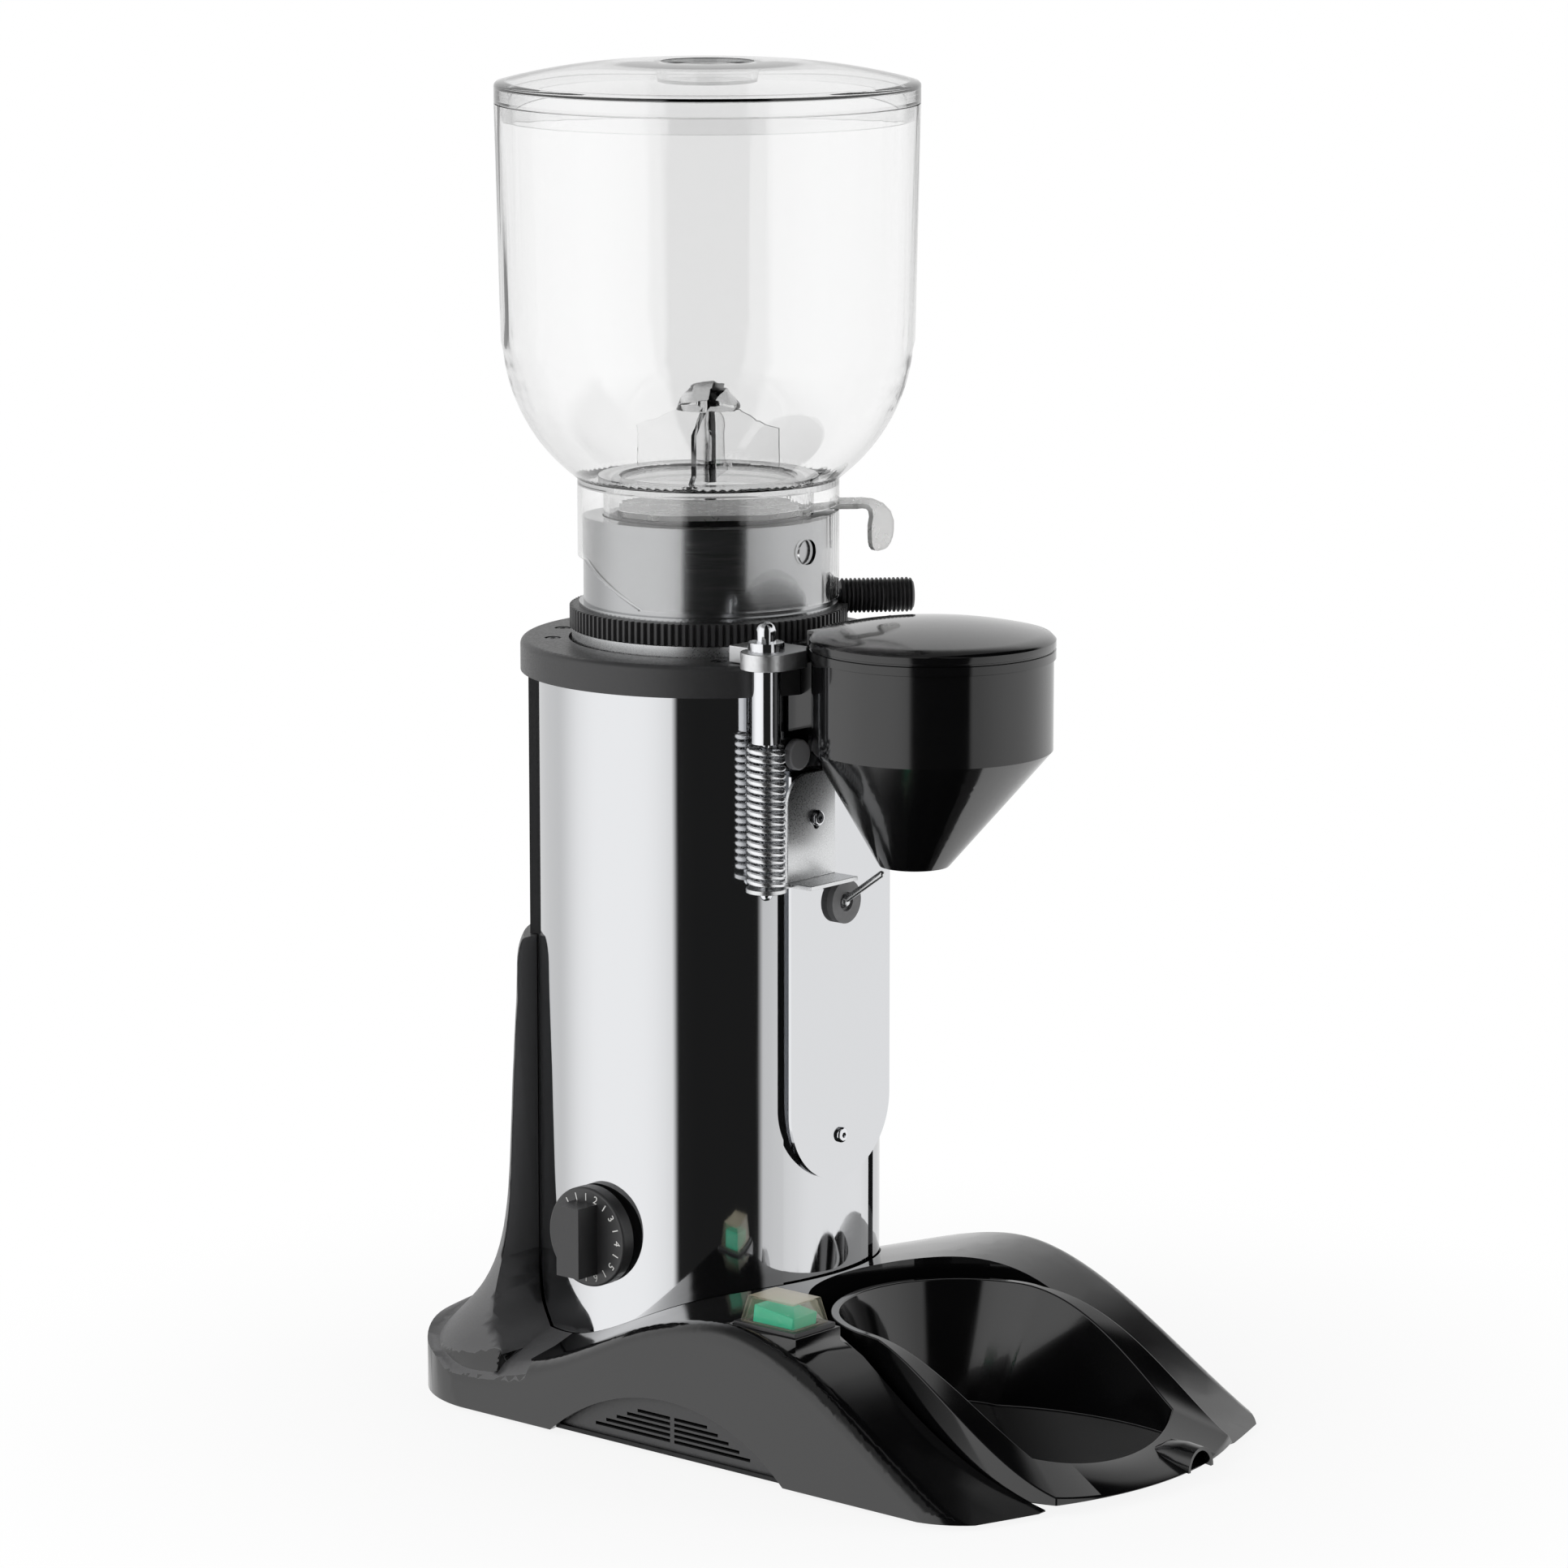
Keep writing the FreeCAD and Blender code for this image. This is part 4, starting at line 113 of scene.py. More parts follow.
def add_grain(material, size, rough, height, stretch=(1, 1, 1)):
    """Grain of that size in mm, drawn out by stretch; rough is (low, high), height is in mm."""
    tree = material.node_tree
    shader = tree.nodes["Principled BSDF"]
    place = add_node(tree, "ShaderNodeTexCoord")
    drawn = [1 / along for along in stretch]
    mapping = add_node(tree, "ShaderNodeMapping", {"Scale": drawn}, {"Vector": place.outputs["Object"]})
    noise = add_node(tree, "ShaderNodeTexNoise", {"Scale": 1 / (size * MM), "Detail": 3.0},
                     {"Vector": mapping.outputs[0]})
    dull = add_node(tree, "ShaderNodeMapRange",
                    {"From Min": 0.3, "From Max": 0.7, "To Min": rough[0], "To Max": rough[1]},
                    {"Value": noise.outputs["Fac"]})
    bump = add_node(tree, "ShaderNodeBump", {"Distance": height * MM, "Strength": 1.0},
                    {"Height": noise.outputs["Fac"]})
    tree.links.new(dull.outputs["Result"], shader.inputs["Roughness"])
    tree.links.new(bump.outputs[0], shader.inputs["Normal"])
    return material


FINISH = {}
print("finishes so far:", len(FINISH))

# %% [markdown]
# ### Black plastics and rubber
# Base, tray and funnel are moulded ABS from a polished mould: near black, and bright only where
# they mirror the room. Cap, gear ring, grip and dial are ABS from an etched mould, so the same
# black turns a soft dark grey, and the spine of the base lies between the two, with a lighter grey
# that is a painted reflection of the room. Feet and boot are nitrile rubber, which is duller still.

# %% Plastics and rubber
# Polished ABS: long soft waves from the moulding, hardly any roughness.
FINISH["abs_polished"] = add_grain(
    start_finish("abs_polished", "#0b0b0c", 0.1, Coat_Weight=0.35, Coat_Roughness=0.05),
    size=45, rough=(0.08, 0.18), height=0.02)
# Etched ABS: grit of about 0.4 mm, drawn here at 1 mm so that it shows.
FINISH["abs_etched"] = add_grain(
    start_finish("abs_etched", "#313132", 0.4), size=1.0, rough=(0.32, 0.46), height=0.02)
# Satin ABS of the spine: dull enough to blur the room into one even grey. Its lighter grey colour is
# a painted reflection of the room. Its fine grit is drawn at 0.8 mm so that it shows.
FINISH["abs_satin_painted_reflection"] = add_grain(
    start_finish("abs_satin_painted_reflection", "#555556", 0.42), size=0.8, rough=(0.38, 0.48), height=0.004)
# Nitrile rubber: matt, with a dusty bloom in patches.
FINISH["nitrile_rubber"] = add_grain(
    start_finish("nitrile_rubber", "#232324", 0.7), size=2.0, rough=(0.6, 0.82), height=0.04)
# The boot's rubber is filled with white, so it is grey, and a little smoother.
FINISH["nitrile_grey"] = add_grain(
    start_finish("nitrile_grey", "#737374", 0.6), size=2.0, rough=(0.5, 0.7), height=0.03)
# Acetal of the thumb knob: grey, with a waxy sheen.
FINISH["acetal_grey"] = add_grain(
    start_finish("acetal_grey", "#98989a", 0.35), size=1.5, rough=(0.3, 0.45), height=0.02)
print("plastics:", ", ".join(FINISH))

# %% [markdown]
# ### Metals
# The column's cladding is stainless sheet polished like a mirror, with faint upright polishing
# lines. The rest and the lever are the same steel, blasted to a fine satin. The collar is turned
# aluminium, so its lines run round it: the grain is very short along Z and long the other ways.
# A metal keeps the shader's default IOR, and its colour does the work.

# %% Metals
# Polished sheet: the lines are 60 times as long as they are wide and hardly stand up at all.
FINISH["stainless_mirror"] = add_grain(
    start_finish("stainless_mirror", "#c9cacc", 0.05, metal=1.0),
    size=1.2, rough=(0.035, 0.075), height=0.0004, stretch=(1, 1, 60))
# Blasted with fine glass beads, drawn at 0.8 mm so that the grain shows.
FINISH["stainless_blasted"] = add_grain(
    start_finish("stainless_blasted", "#cfd0d1", 0.3, metal=1.0),
    size=0.8, rough=(0.24, 0.36), height=0.004)
# Turned collar: half a millimetre of feed for each turn, seen as fine rings.
FINISH["aluminium_turned"] = add_grain(
    start_finish("aluminium_turned", "#a6a7a8", 0.2, metal=1.0),
    size=0.5, rough=(0.17, 0.24), height=0.0006, stretch=(60, 60, 1))
# Tumbled bracket of the guide post: pale and soft, without any lines.
FINISH["aluminium_tumbled"] = add_grain(
    start_finish("aluminium_tumbled", "#d6d7d8", 0.4, metal=1.0),
    size=1.5, rough=(0.34, 0.5), height=0.02)
# Chrome plate over turned steel: bright, with only a breath of haze.
FINISH["chrome_plate"] = add_grain(
    start_finish("chrome_plate", "#d4d5d8", 0.08, metal=1.0),
    size=4.0, rough=(0.06, 0.13), height=0.002)
# Spring wire, drawn and then zinc plated: a soft shine along the wire.
FINISH["spring_wire"] = add_grain(
    start_finish("spring_wire", "#dcdddf", 0.25, metal=1.0),
    size=1.0, rough=(0.2, 0.32), height=0.003)
# Cast aluminium: the skin of the mould, rough and a little uneven.
FINISH["aluminium_cast"] = add_grain(
    start_finish("aluminium_cast", "#a3a4a6", 0.5, metal=1.0),
    size=1.6, rough=(0.42, 0.62), height=0.06)
# Machined steel: grey, with the rings of the turning tool.
FINISH["steel_machined"] = add_grain(
    start_finish("steel_machined", "#8f9093", 0.35, metal=1.0),
    size=0.6, rough=(0.28, 0.44), height=0.004, stretch=(40, 40, 1))
# Black zinc on screws and plates: a thin dark coat, a little patchy.
FINISH["steel_black_zinc"] = add_grain(
    start_finish("steel_black_zinc", "#19191a", 0.38, metal=0.6),
    size=3.0, rough=(0.3, 0.48), height=0.01)
# Enamelled copper wire, wound in a bundle.
FINISH["copper_enamelled"] = add_grain(
    start_finish("copper_enamelled", "#b4662e", 0.3, metal=1.0),
    size=0.8, rough=(0.22, 0.4), height=0.08, stretch=(1, 1, 8))
# Glass laminate of the control board under green lacquer: half glossy.
FINISH["board_laminate"] = add_grain(
    start_finish("board_laminate", "#1d5f35", 0.4), size=0.9, rough=(0.3, 0.5), height=0.01)
print("with metals:", len(FINISH))

# %% [markdown]
# ### Clear plastics
# The hopper is blown polycarbonate. What the eye sees of it is its edge: there the light runs a
# long way inside the wall and comes out darker, so the shader transmits all light and a Volume
# Absorption node takes away a little for each millimetre. The gate is milky, the switch cover is
# soft PVC with a cream tint, and the rocker below it is dyed green. The cover is so thin that it
# hardly bends light, so Alpha lets the light through, and less of it where the cover is seen at a
# slant.

# %% Clear plastics
def add_depth(material, colour, density):
    """Lets the inside of a clear piece take away light: density is per metre of way."""
    tree = material.node_tree
    volume = add_node(tree, "ShaderNodeVolumeAbsorption", {"Color": linear(colour), "Density": density})
    tree.links.new(volume.outputs[0], tree.nodes["Material Output"].inputs["Volume"])
    return material


# Clear polycarbonate: the walls carry a very faint wave from the mould.
FINISH["polycarbonate_clear"] = add_depth(add_grain(
    start_finish("polycarbonate_clear", "#fdfdfd", 0.02, IOR=1.58, Transmission_Weight=1.0),
    size=60, rough=(0.0, 0.03), height=0.01), colour="#bcbdbd", density=24)
# Milky polycarbonate: half the light goes through, the rest is scattered back.
FINISH["polycarbonate_milky"] = add_depth(add_grain(
    start_finish("polycarbonate_milky", "#f8f8f7", 0.3, IOR=1.58, Transmission_Weight=0.5),
    size=6, rough=(0.24, 0.36), height=0.004), colour="#e8e8e8", density=8)
# Soft PVC: glossy, and clearest where it is seen face on.
FINISH["pvc_cream"] = add_grain(
    start_finish("pvc_cream", "#d9cfb6", 0.1, Coat_Weight=0.5, Coat_Roughness=0.05),
    size=8, rough=(0.06, 0.14), height=0.01)
cover_tree = FINISH["pvc_cream"].node_tree
slant = add_node(cover_tree, "ShaderNodeLayerWeight", {"Blend": 0.5})
cream = add_node(cover_tree, "ShaderNodeMapRange",
                 {"interpolation_type": "SMOOTHSTEP", "From Min": 0.2, "From Max": 1.0,
                  "To Min": 0.04, "To Max": 0.85},
                 {"Value": slant.outputs["Facing"]})
cover_tree.links.new(cream.outputs["Result"], cover_tree.nodes["Principled BSDF"].inputs["Alpha"])
# Dyed polycarbonate of the rocker: a faint painted glow from Emission lifts the green a little.
FINISH["polycarbonate_green_painted_glow"] = add_grain(
    start_finish("polycarbonate_green_painted_glow", "#009a76", 0.2, Coat_Weight=0.3, Coat_Roughness=0.1,
                 Emission_Color=linear("#00b88c"), Emission_Strength=0.25),
    size=3, rough=(0.16, 0.28), height=0.01)
# Marking ink of the dial: off white and chalky.
FINISH["marking_ink"] = add_grain(
    start_finish("marking_ink", "#e9e9e6", 0.5), size=0.8, rough=(0.42, 0.6), height=0.01)
print("with clear plastics and ink:", len(FINISH))

# %% [markdown]
# ## Who wears what
# Each finish lists the pieces that have it. The pieces inside the column are dressed too, because
# the hopper, the tray and the funnel lid come off and someone may open the rest.

# %% Finishes by piece
WEARS = {
    "abs_polished": ["base_shell", "grounds_tray", "funnel_body", "funnel_lid", "chute"],
    "abs_etched": ["vent_grille_left", "vent_grille_right", "rear_panel", "top_cap", "cooling_fan",
                   "gear_ring", "handle_grip", "timer_dial", "timer_unit", "power_switch", "microswitch"],
    "nitrile_rubber": ["rubber_feet", "cord_gland"],
    "nitrile_grey": ["trigger_boot"],
    "acetal_grey": ["thumb_knob"],
    "stainless_mirror": ["column_tube", "cladding_left", "cladding_right", "front_plate"],
    "stainless_blasted": ["portafilter_rest", "trigger_lever", "thread_ring"],
    "aluminium_turned": ["adjusting_collar"],
    "aluminium_tumbled": ["post_bracket"],
    "chrome_plate": ["guide_post", "post_nut", "front_screws", "rest_screw"],
    "spring_wire": ["rest_spring"],
    "aluminium_cast": ["grinding_chamber", "upper_bell", "lower_bell", "start_capacitor"],
    "steel_machined": ["foot_screws", "upper_burr", "lower_burr", "burr_carrier", "carrier_nut",
                       "drive_shaft", "motor_rotor", "motor_stator", "shaft_bearings", "tie_bolts",
                       "handle_rod"],
    "steel_black_zinc": ["base_plate", "cap_screws"],
    "copper_enamelled": ["stator_windings"],
    "board_laminate": ["control_board"],
    "polycarbonate_clear": ["hopper_bowl", "hopper_lid", "finger_guard"],
    "polycarbonate_milky": ["hopper_gate"],
    "pvc_cream": ["splash_cover"],
    "polycarbonate_green_painted_glow": ["switch_rocker"],
}
FINISH_OF = {node: FINISH[finish] for finish, nodes in WEARS.items() for node in nodes}
for node, piece in frame["nodes"].items():
    piece.data.materials.clear()
    piece.data.materials.append(FINISH_OF[node])
print("dressed:", len(FINISH_OF), "of", len(frame["nodes"]))

# %% [markdown]
# ## Smooth skins
# A CAD piece arrives as loose flat triangles, and a mirror would show every one of them. For the
# pieces that are seen, a copy is merged into one skin, its flat triangles are joined again and its
# faces are shaded smooth up to a sharp edge. A subdivision surface would round the true edges
# away, so the shape itself stays. Three small tools come first, because the pieces that are drawn
# further down use them too.

# %% A piece, its shading and its edges
FLAT_ANGLE = math.radians(0.2)
SHARP_ANGLE = math.radians(32)
MERGE = 0.002 * MM


def add_piece(name, data):
    """A new object at the origin that shows this data."""
    piece = bpy.data.objects.new(name, data)
    bpy.context.scene.collection.objects.link(piece)
    return piece


def shade(mesh, sharp=SHARP_ANGLE):
    """Shades a mesh smooth, and sharp where two faces meet at more than this angle."""
    mesh.shade_smooth()
    mesh.set_sharp_from_angle(angle=sharp)


def soften(piece, width, segments):
    """Rounds the sharp edges of a piece with a bevel; width is in mm."""
    edge = piece.modifiers.new("edge", "BEVEL")
    edge.width = width * MM
    edge.segments = segments
    edge.limit_method = "ANGLE"
    edge.angle_limit = SHARP_ANGLE
    edge.harden_normals = True


print("an edge is sharp from, in degrees:", round(math.degrees(SHARP_ANGLE)))

# %% [markdown]
# Weighted normals keep flat and long faces even where they run into a rounding. Square pieces get a
# small bevel instead, because a real edge is never perfectly sharp and its thin highlight is what
# makes it look solid.

# %% A skin for each piece that is seen
def skin(node, bevel=0.0):
    """A merged, smooth copy of a CAD node that stands for it; bevel is in mm."""
    mesh = frame["nodes"][node].data.copy()
    mesh.name = node + "_skin"
    shape = bmesh.new()
    shape.from_mesh(mesh)
    bmesh.ops.remove_doubles(shape, verts=shape.verts, dist=MERGE)
    bmesh.ops.dissolve_limit(shape, angle_limit=FLAT_ANGLE, verts=shape.verts, edges=shape.edges)
    shape.to_mesh(mesh)
    shape.free()
    shade(mesh)
    piece = add_piece(node + "_skin", mesh)
    if bevel:
        soften(piece, bevel, segments=2)
    else:
        even = piece.modifiers.new("even", "WEIGHTED_NORMAL")
        even.keep_sharp = True
    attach(piece, BODY_OF[node])
    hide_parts(node)
    return piece


ROUND_PIECES = ["base_shell", "vent_grille_left", "vent_grille_right", "column_tube", "cladding_left",
                "cladding_right", "rear_panel", "top_cap", "front_plate", "thread_ring", "adjusting_collar",
                "gear_ring", "handle_rod", "hopper_bowl", "finger_guard", "hopper_gate", "funnel_body",
                "funnel_lid", "chute", "thumb_knob", "guide_post", "post_nut", "front_screws", "rest_screw",
                "cap_screws", "trigger_boot", "trigger_lever", "rubber_feet", "cord_gland", "timer_dial"]
# The square pieces and their bevels in mm.
SQUARE_PIECES = {"portafilter_rest": 0.3, "post_bracket": 0.5, "power_switch": 0.4, "splash_cover": 0.4,
                 "switch_rocker": 0.4}
for node in ROUND_PIECES:
    skin(node)
for node, bevel in SQUARE_PIECES.items():
    skin(node, bevel)
print("skins:", len(ROUND_PIECES) + len(SQUARE_PIECES))

# %% [markdown]
# The base's back rises into a spine behind the column, which is moulded with a fine satin, and whose
# lighter grey is a painted reflection of the room. One piece can wear two materials: the second is
# added to its mesh, and each face behind the column that lies high or slopes up is told to use it,
# so the upright side of the base stays polished.

# %% Satin spine with a painted reflection
PAINTED_REFLECTION_BEHIND = AXIS_Y + 15 * MM
PAINTED_REFLECTION_ABOVE = 42 * MM
PAINTED_REFLECTION_SLOPE = 0.45
base_mesh = bpy.data.objects["base_shell_skin"].data
base_mesh.materials.append(FINISH["abs_satin_painted_reflection"])
back_faces = [face for face in base_mesh.polygons if face.center.y > PAINTED_REFLECTION_BEHIND]
# Faces behind the column that lie high or slope up get the lighter grey: a painted reflection of the room.
painted_reflection_faces = [face for face in back_faces if face.center.z > PAINTED_REFLECTION_ABOVE or face.normal.z > PAINTED_REFLECTION_SLOPE]
for face in painted_reflection_faces:
    face.material_index = 1
print("satin faces:", len(painted_reflection_faces))

# %% [markdown]
# Two pieces that touch share a face, and a ray can't tell which comes first. A lift of a twentieth
# of a millimetre settles it for the clear guard in the hopper. The sheets are drawn a little closer
# to the column, because the base's thin edges lie on them and facets would show through each other.

# %% Touching pieces apart
GUARD_LIFT = 0.05 * MM
SHEET_RADIUS = 82.2
SHEET_GAP = 0.3
bpy.data.objects["finger_guard_skin"].data.transform(Matrix.Translation((0, 0, GUARD_LIFT)))
closer = (SHEET_RADIUS - SHEET_GAP) / SHEET_RADIUS
toward_axis = (Matrix.Translation((0, AXIS_Y, 0)) @ Matrix.Diagonal((closer, closer, 1, 1))
               @ Matrix.Translation((0, -AXIS_Y, 0)))
for node in ("cladding_left", "cladding_right"):
    bpy.data.objects[node + "_skin"].data.transform(toward_axis)
print("guard lifted in mm:", GUARD_LIFT / MM, "sheets closer in mm:", SHEET_GAP)

# %% [markdown]
# ## The grounds tray
# The tray's rim falls in a long curve from the column to the table, and a CAD mesh breaks that
# curve into slivers. Here the tray is made from rings instead: each ring is the tray's outline at
# one place, and all rings have the same number of points. An outline is made of four arcs, and an
# arc is found from three points that it goes through.

# %% Tray outline
TRAY_POINTS = 200


def arc_through(a, b, c, count):
    """Points on the circle through three points, from a towards c, without c itself."""
    a, b, c = Vector(a), Vector(b), Vector(c)
    ab, ac = b - a, c - a
    cross = 2 * (ab.x * ac.y - ab.y * ac.x)
    offset = Vector((ac.y * ab.dot(ab) - ab.y * ac.dot(ac), ab.x * ac.dot(ac) - ac.x * ab.dot(ab)))
    middle = a + offset / cross
    start = a - middle
    sweep = start.angle_signed(c - middle)
    if start.angle_signed(b - middle) * sweep < 0:
        sweep -= math.copysign(2 * math.pi, sweep)
    return [middle + Matrix.Rotation(-sweep * i / count, 2) @ start for i in range(count)]


def tray_outline(back, belly, mouth, front):
    """A closed ring of points: round the back, along one flank, across the front and back again."""
    share = TRAY_POINTS // 5
    y, radius = back
    ring = arc_through((radius, y), (0, y + radius), (-radius, y), share)
    ring += arc_through((-radius, y), (-belly[0], belly[1]), (-mouth[0], mouth[1]), share)
    ring += arc_through((-mouth[0], mouth[1]), (0, front), mouth, 2 * share)
    ring += arc_through(mouth, belly, (radius, y), share)
    return ring


# Each outline: the middle and radius of the back arc, then points (x, y) to the front, in mm.
TRAY_FOOT = tray_outline(back=(-157, 71.4), belly=(77.4, -207), mouth=(66.4, -266), front=-280.4)
TRAY_RIM_OUT = tray_outline(back=(-157, 61.5), belly=(71.3, -207), mouth=(65.0, -265), front=-279.6)
TRAY_RIM_IN = tray_outline(back=(-157, 57.5), belly=(57.5, -200), mouth=(52.5, -241), front=-255.5)
TRAY_FLOOR = tray_outline(back=(-150, 35), belly=(50.5, -192.5), mouth=(50.5, -237), front=-253)
print("points in a tray outline:", len(TRAY_FOOT))

# %% [markdown]
# Each outline then gets its height. The rim's height depends on how far in front of the column it
# is, along an S curve that starts and ends level. Faces are stretched from ring to ring, and one
# face each closes the foot and the floor.

# %% Tray shape
TRAY_FOOT_Z = 5.3
TRAY_FLOOR_Z = 7.8
RIM_BACK_Y = -145
RIM_LENGTH = 136
RIM_BACK_Z = 63
RIM_FRONT_Z = 6
RIM_LATE = 1.12


def rim_height(y):
    """How high the rim stands at this place, in mm; a larger RIM_LATE lets it fall later."""
    along = min(max((RIM_BACK_Y - y) / RIM_LENGTH, 0), 1) ** RIM_LATE
    return RIM_BACK_Z - (RIM_BACK_Z - RIM_FRONT_Z) * along * along * (3 - 2 * along)


def add_row(shape, points):
    """Adds points, in mm from the foot of the column's axis, and returns their vertices."""
    return [shape.verts.new((x * MM, y * MM + AXIS_Y, z * MM)) for x, y, z in points]


def stretch(shape, rows, closed=False):
    """Stretches faces from each row of vertices to the next; closed rows join their ends."""
    first = 0 if closed else 1
    for one, two in zip(rows, rows[1:]):
        for i in range(first, len(one)):
            shape.faces.new((one[i - 1], one[i], two[i], two[i - 1]))


tray_shape = bmesh.new()
tray_rings = [add_row(tray_shape, [(p.x, p.y, TRAY_FOOT_Z) for p in TRAY_FOOT]),
              add_row(tray_shape, [(p.x, p.y, rim_height(p.y)) for p in TRAY_RIM_OUT]),
              add_row(tray_shape, [(p.x, p.y, rim_height(p.y)) for p in TRAY_RIM_IN]),
              add_row(tray_shape, [(p.x, p.y, TRAY_FLOOR_Z) for p in TRAY_FLOOR])]
stretch(tray_shape, tray_rings, closed=True)
tray_shape.faces.new(tray_rings[0])
tray_shape.faces.new(tray_rings[-1])
bmesh.ops.recalc_face_normals(tray_shape, faces=tray_shape.faces)
print("tray faces:", len(tray_shape.faces))

# %% [markdown]
# A soft edge runs round the rim and where the walls meet the floor, so the tray catches the same
# thin highlights as a moulded one.

# %% Tray piece
def place_piece(shape, name, finish, node, bevel):
    """Turns a shape into a smooth, bevelled piece that rides with a CAD node's body."""
    mesh = bpy.data.meshes.new(name)
    shape.to_mesh(mesh)
    shape.free()
    mesh.materials.append(FINISH[finish])
    shade(mesh)
    piece = add_piece(name, mesh)
    soften(piece, bevel, segments=3)
    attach(piece, BODY_OF[node])
    return piece


tray = place_piece(tray_shape, "grounds_tray_rings", "abs_polished", "grounds_tray", bevel=0.7)
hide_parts("grounds_tray")
print("tray rides on:", BODY_OF["grounds_tray"])

# %% [markdown]
# At the right of the lip a small arch is moulded on, open to the front, to pull the tray by. It is
# made from half rings: each has a place along the tray, half a width and a height. The arch is a
# sheet at first, and a Solidify modifier gives it a wall before the bevel softens its edges.

# %% Tray pull
PULL_X = 23
PULL_STEPS = 20
PULL_DEPTH = 1
PULL_WALL = 1.8
# Each half ring: its place from front to back, half its width and its top, in mm.
PULL_RINGS = ((-280.2, 9.5, 15.6), (-272.0, 9.4, 16.4), (-263.0, 8.8, 16.2), (-257.0, 6.5, 12.8))


def thicken(piece, wall):
    """Gives a sheet a wall, in mm, and puts that before its bevel."""
    solid = piece.modifiers.new("wall", "SOLIDIFY")
    solid.thickness = wall * MM
    solid.offset = -1
    piece.modifiers.move(1, 0)


pull_shape = bmesh.new()
arches = []
for y, half, top in PULL_RINGS:
    low = rim_height(y) - PULL_DEPTH
    turns = [math.pi * i / PULL_STEPS for i in range(PULL_STEPS + 1)]
    points = [(PULL_X + half * math.cos(t), y, low + (top - low) * math.sin(t)) for t in turns]
    arches.append(add_row(pull_shape, points))
stretch(pull_shape, arches)
bmesh.ops.recalc_face_normals(pull_shape, faces=pull_shape.faces)
pull = place_piece(pull_shape, "tray_pull", "abs_polished", "grounds_tray", bevel=0.5)
thicken(pull, PULL_WALL)
print("pull rings:", len(arches))

# %% [markdown]
# ## The hopper's lid
# Clear plastic shows every facet twice, on its way in and on its way out. The lid is round, so it
# is turned like on a lathe: its profile is drawn once and spun about the column's axis in many
# small steps, which gives an even surface.

# %% Lid
LID_STEPS = 180
DOME_STEPS = 24
# The profile as (radius, height) in mm: up the edge, over the dome, into the cup for the fingers,
# then back along the inside and down the skirt that sits in the hopper.
LID_EDGE = [(97, 619.5), (100, 619.5), (100, 628)]
LID_DOME = [(99, 629), (65, 635.84), (30, 638.5)]
LID_CUP = [(30, 638.5), (22, 638.5), (21, 624.5), (0, 624.5), (0, 622), (23.5, 622), (24.5, 636)]
LID_DOME_INSIDE = [(30, 636), (65, 633.34), (94.5, 626.5)]
LID_SKIRT = [(94.5, 626.5), (93.5, 611.5), (96, 611.5)]
profile = LID_EDGE + arc_through(*LID_DOME, DOME_STEPS) + LID_CUP
profile += arc_through(*LID_DOME_INSIDE, DOME_STEPS) + LID_SKIRT
lid_shape = bmesh.new()
points = add_row(lid_shape, [(radius, 0, z) for radius, z in profile])
edges = [lid_shape.edges.new((points[i - 1], points[i])) for i in range(len(points))]
bmesh.ops.spin(lid_shape, geom=points + edges, cent=(0, AXIS_Y, 0), axis=(0, 0, 1), angle=2 * math.pi,
               steps=LID_STEPS, use_merge=True)
bmesh.ops.remove_doubles(lid_shape, verts=lid_shape.verts, dist=MERGE)
bmesh.ops.recalc_face_normals(lid_shape, faces=lid_shape.faces)
lid = place_piece(lid_shape, "hopper_lid_turned", "polycarbonate_clear", "hopper_lid", bevel=0.5)
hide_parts("hopper_lid")
print("lid faces:", len(lid.data.polygons))

# %% [markdown]
# ## The gate's paddle
# The gate is pulled by a paddle that bends down beside the hopper. The CAD tab is straight, so the
# gate's skin is cut off there by a plane, and the hole that this leaves is filled.

# %% Gate cut
GATE_ANGLE = math.radians(-45)
GATE_WAY = Vector((math.cos(GATE_ANGLE), math.sin(GATE_ANGLE), 0))
GATE_CUT = 70 * MM
AXIS_FOOT = Vector((0, AXIS_Y, 0))
gate_mesh = bpy.data.objects["hopper_gate_skin"].data
gate_shape = bmesh.new()
gate_shape.from_mesh(gate_mesh)
everything = gate_shape.verts[:] + gate_shape.edges[:] + gate_shape.faces[:]
cut = bmesh.ops.bisect_plane(gate_shape, geom=everything, plane_co=GATE_WAY * GATE_CUT + AXIS_FOOT,
                             plane_no=GATE_WAY, clear_outer=True)
cut_edges = [part for part in cut["geom_cut"] if isinstance(part, bmesh.types.BMEdge)]
bmesh.ops.edgeloop_fill(gate_shape, edges=cut_edges)
gate_shape.to_mesh(gate_mesh)
gate_shape.free()
print("gate faces after the cut:", len(gate_mesh.polygons))

# %% [markdown]
# A softer paddle takes the tab's place: a row of cross lines along the bend, which turns to the
# front on its way down and ends round.

# %% Paddle
PADDLE_TURN = math.radians(-34)
PADDLE_STEPS = 8
PADDLE_WALL = 2.4
# Each line: distance from the column's axis, height and half width, in mm, and its share of the turn.
PADDLE = ((69.5, 430.4, 11, 0), (73, 430.6, 11, 0.1), (77, 430, 11, 0.3), (80.5, 427.8, 11, 0.55),
          (82.6, 424, 11, 0.8), (83, 419.5, 11, 1), (83, 415, 11, 1), (82.8, 411.5, 10.2, 1),
          (82.5, 409, 8.6, 1), (82.3, 407.2, 6, 1), (82.2, 406.6, 3, 1))
paddle_shape = bmesh.new()
rows = []
for out, z, half, share in PADDLE:
    across = Matrix.Rotation(PADDLE_TURN * share, 3, "Z") @ GATE_WAY.cross(Vector((0, 0, 1)))
    middle = GATE_WAY * out * MM + Vector((0, AXIS_Y, z * MM))
    places = [half * MM * (2 * i / PADDLE_STEPS - 1) for i in range(PADDLE_STEPS + 1)]
    rows.append([paddle_shape.verts.new(middle + across * place) for place in places])
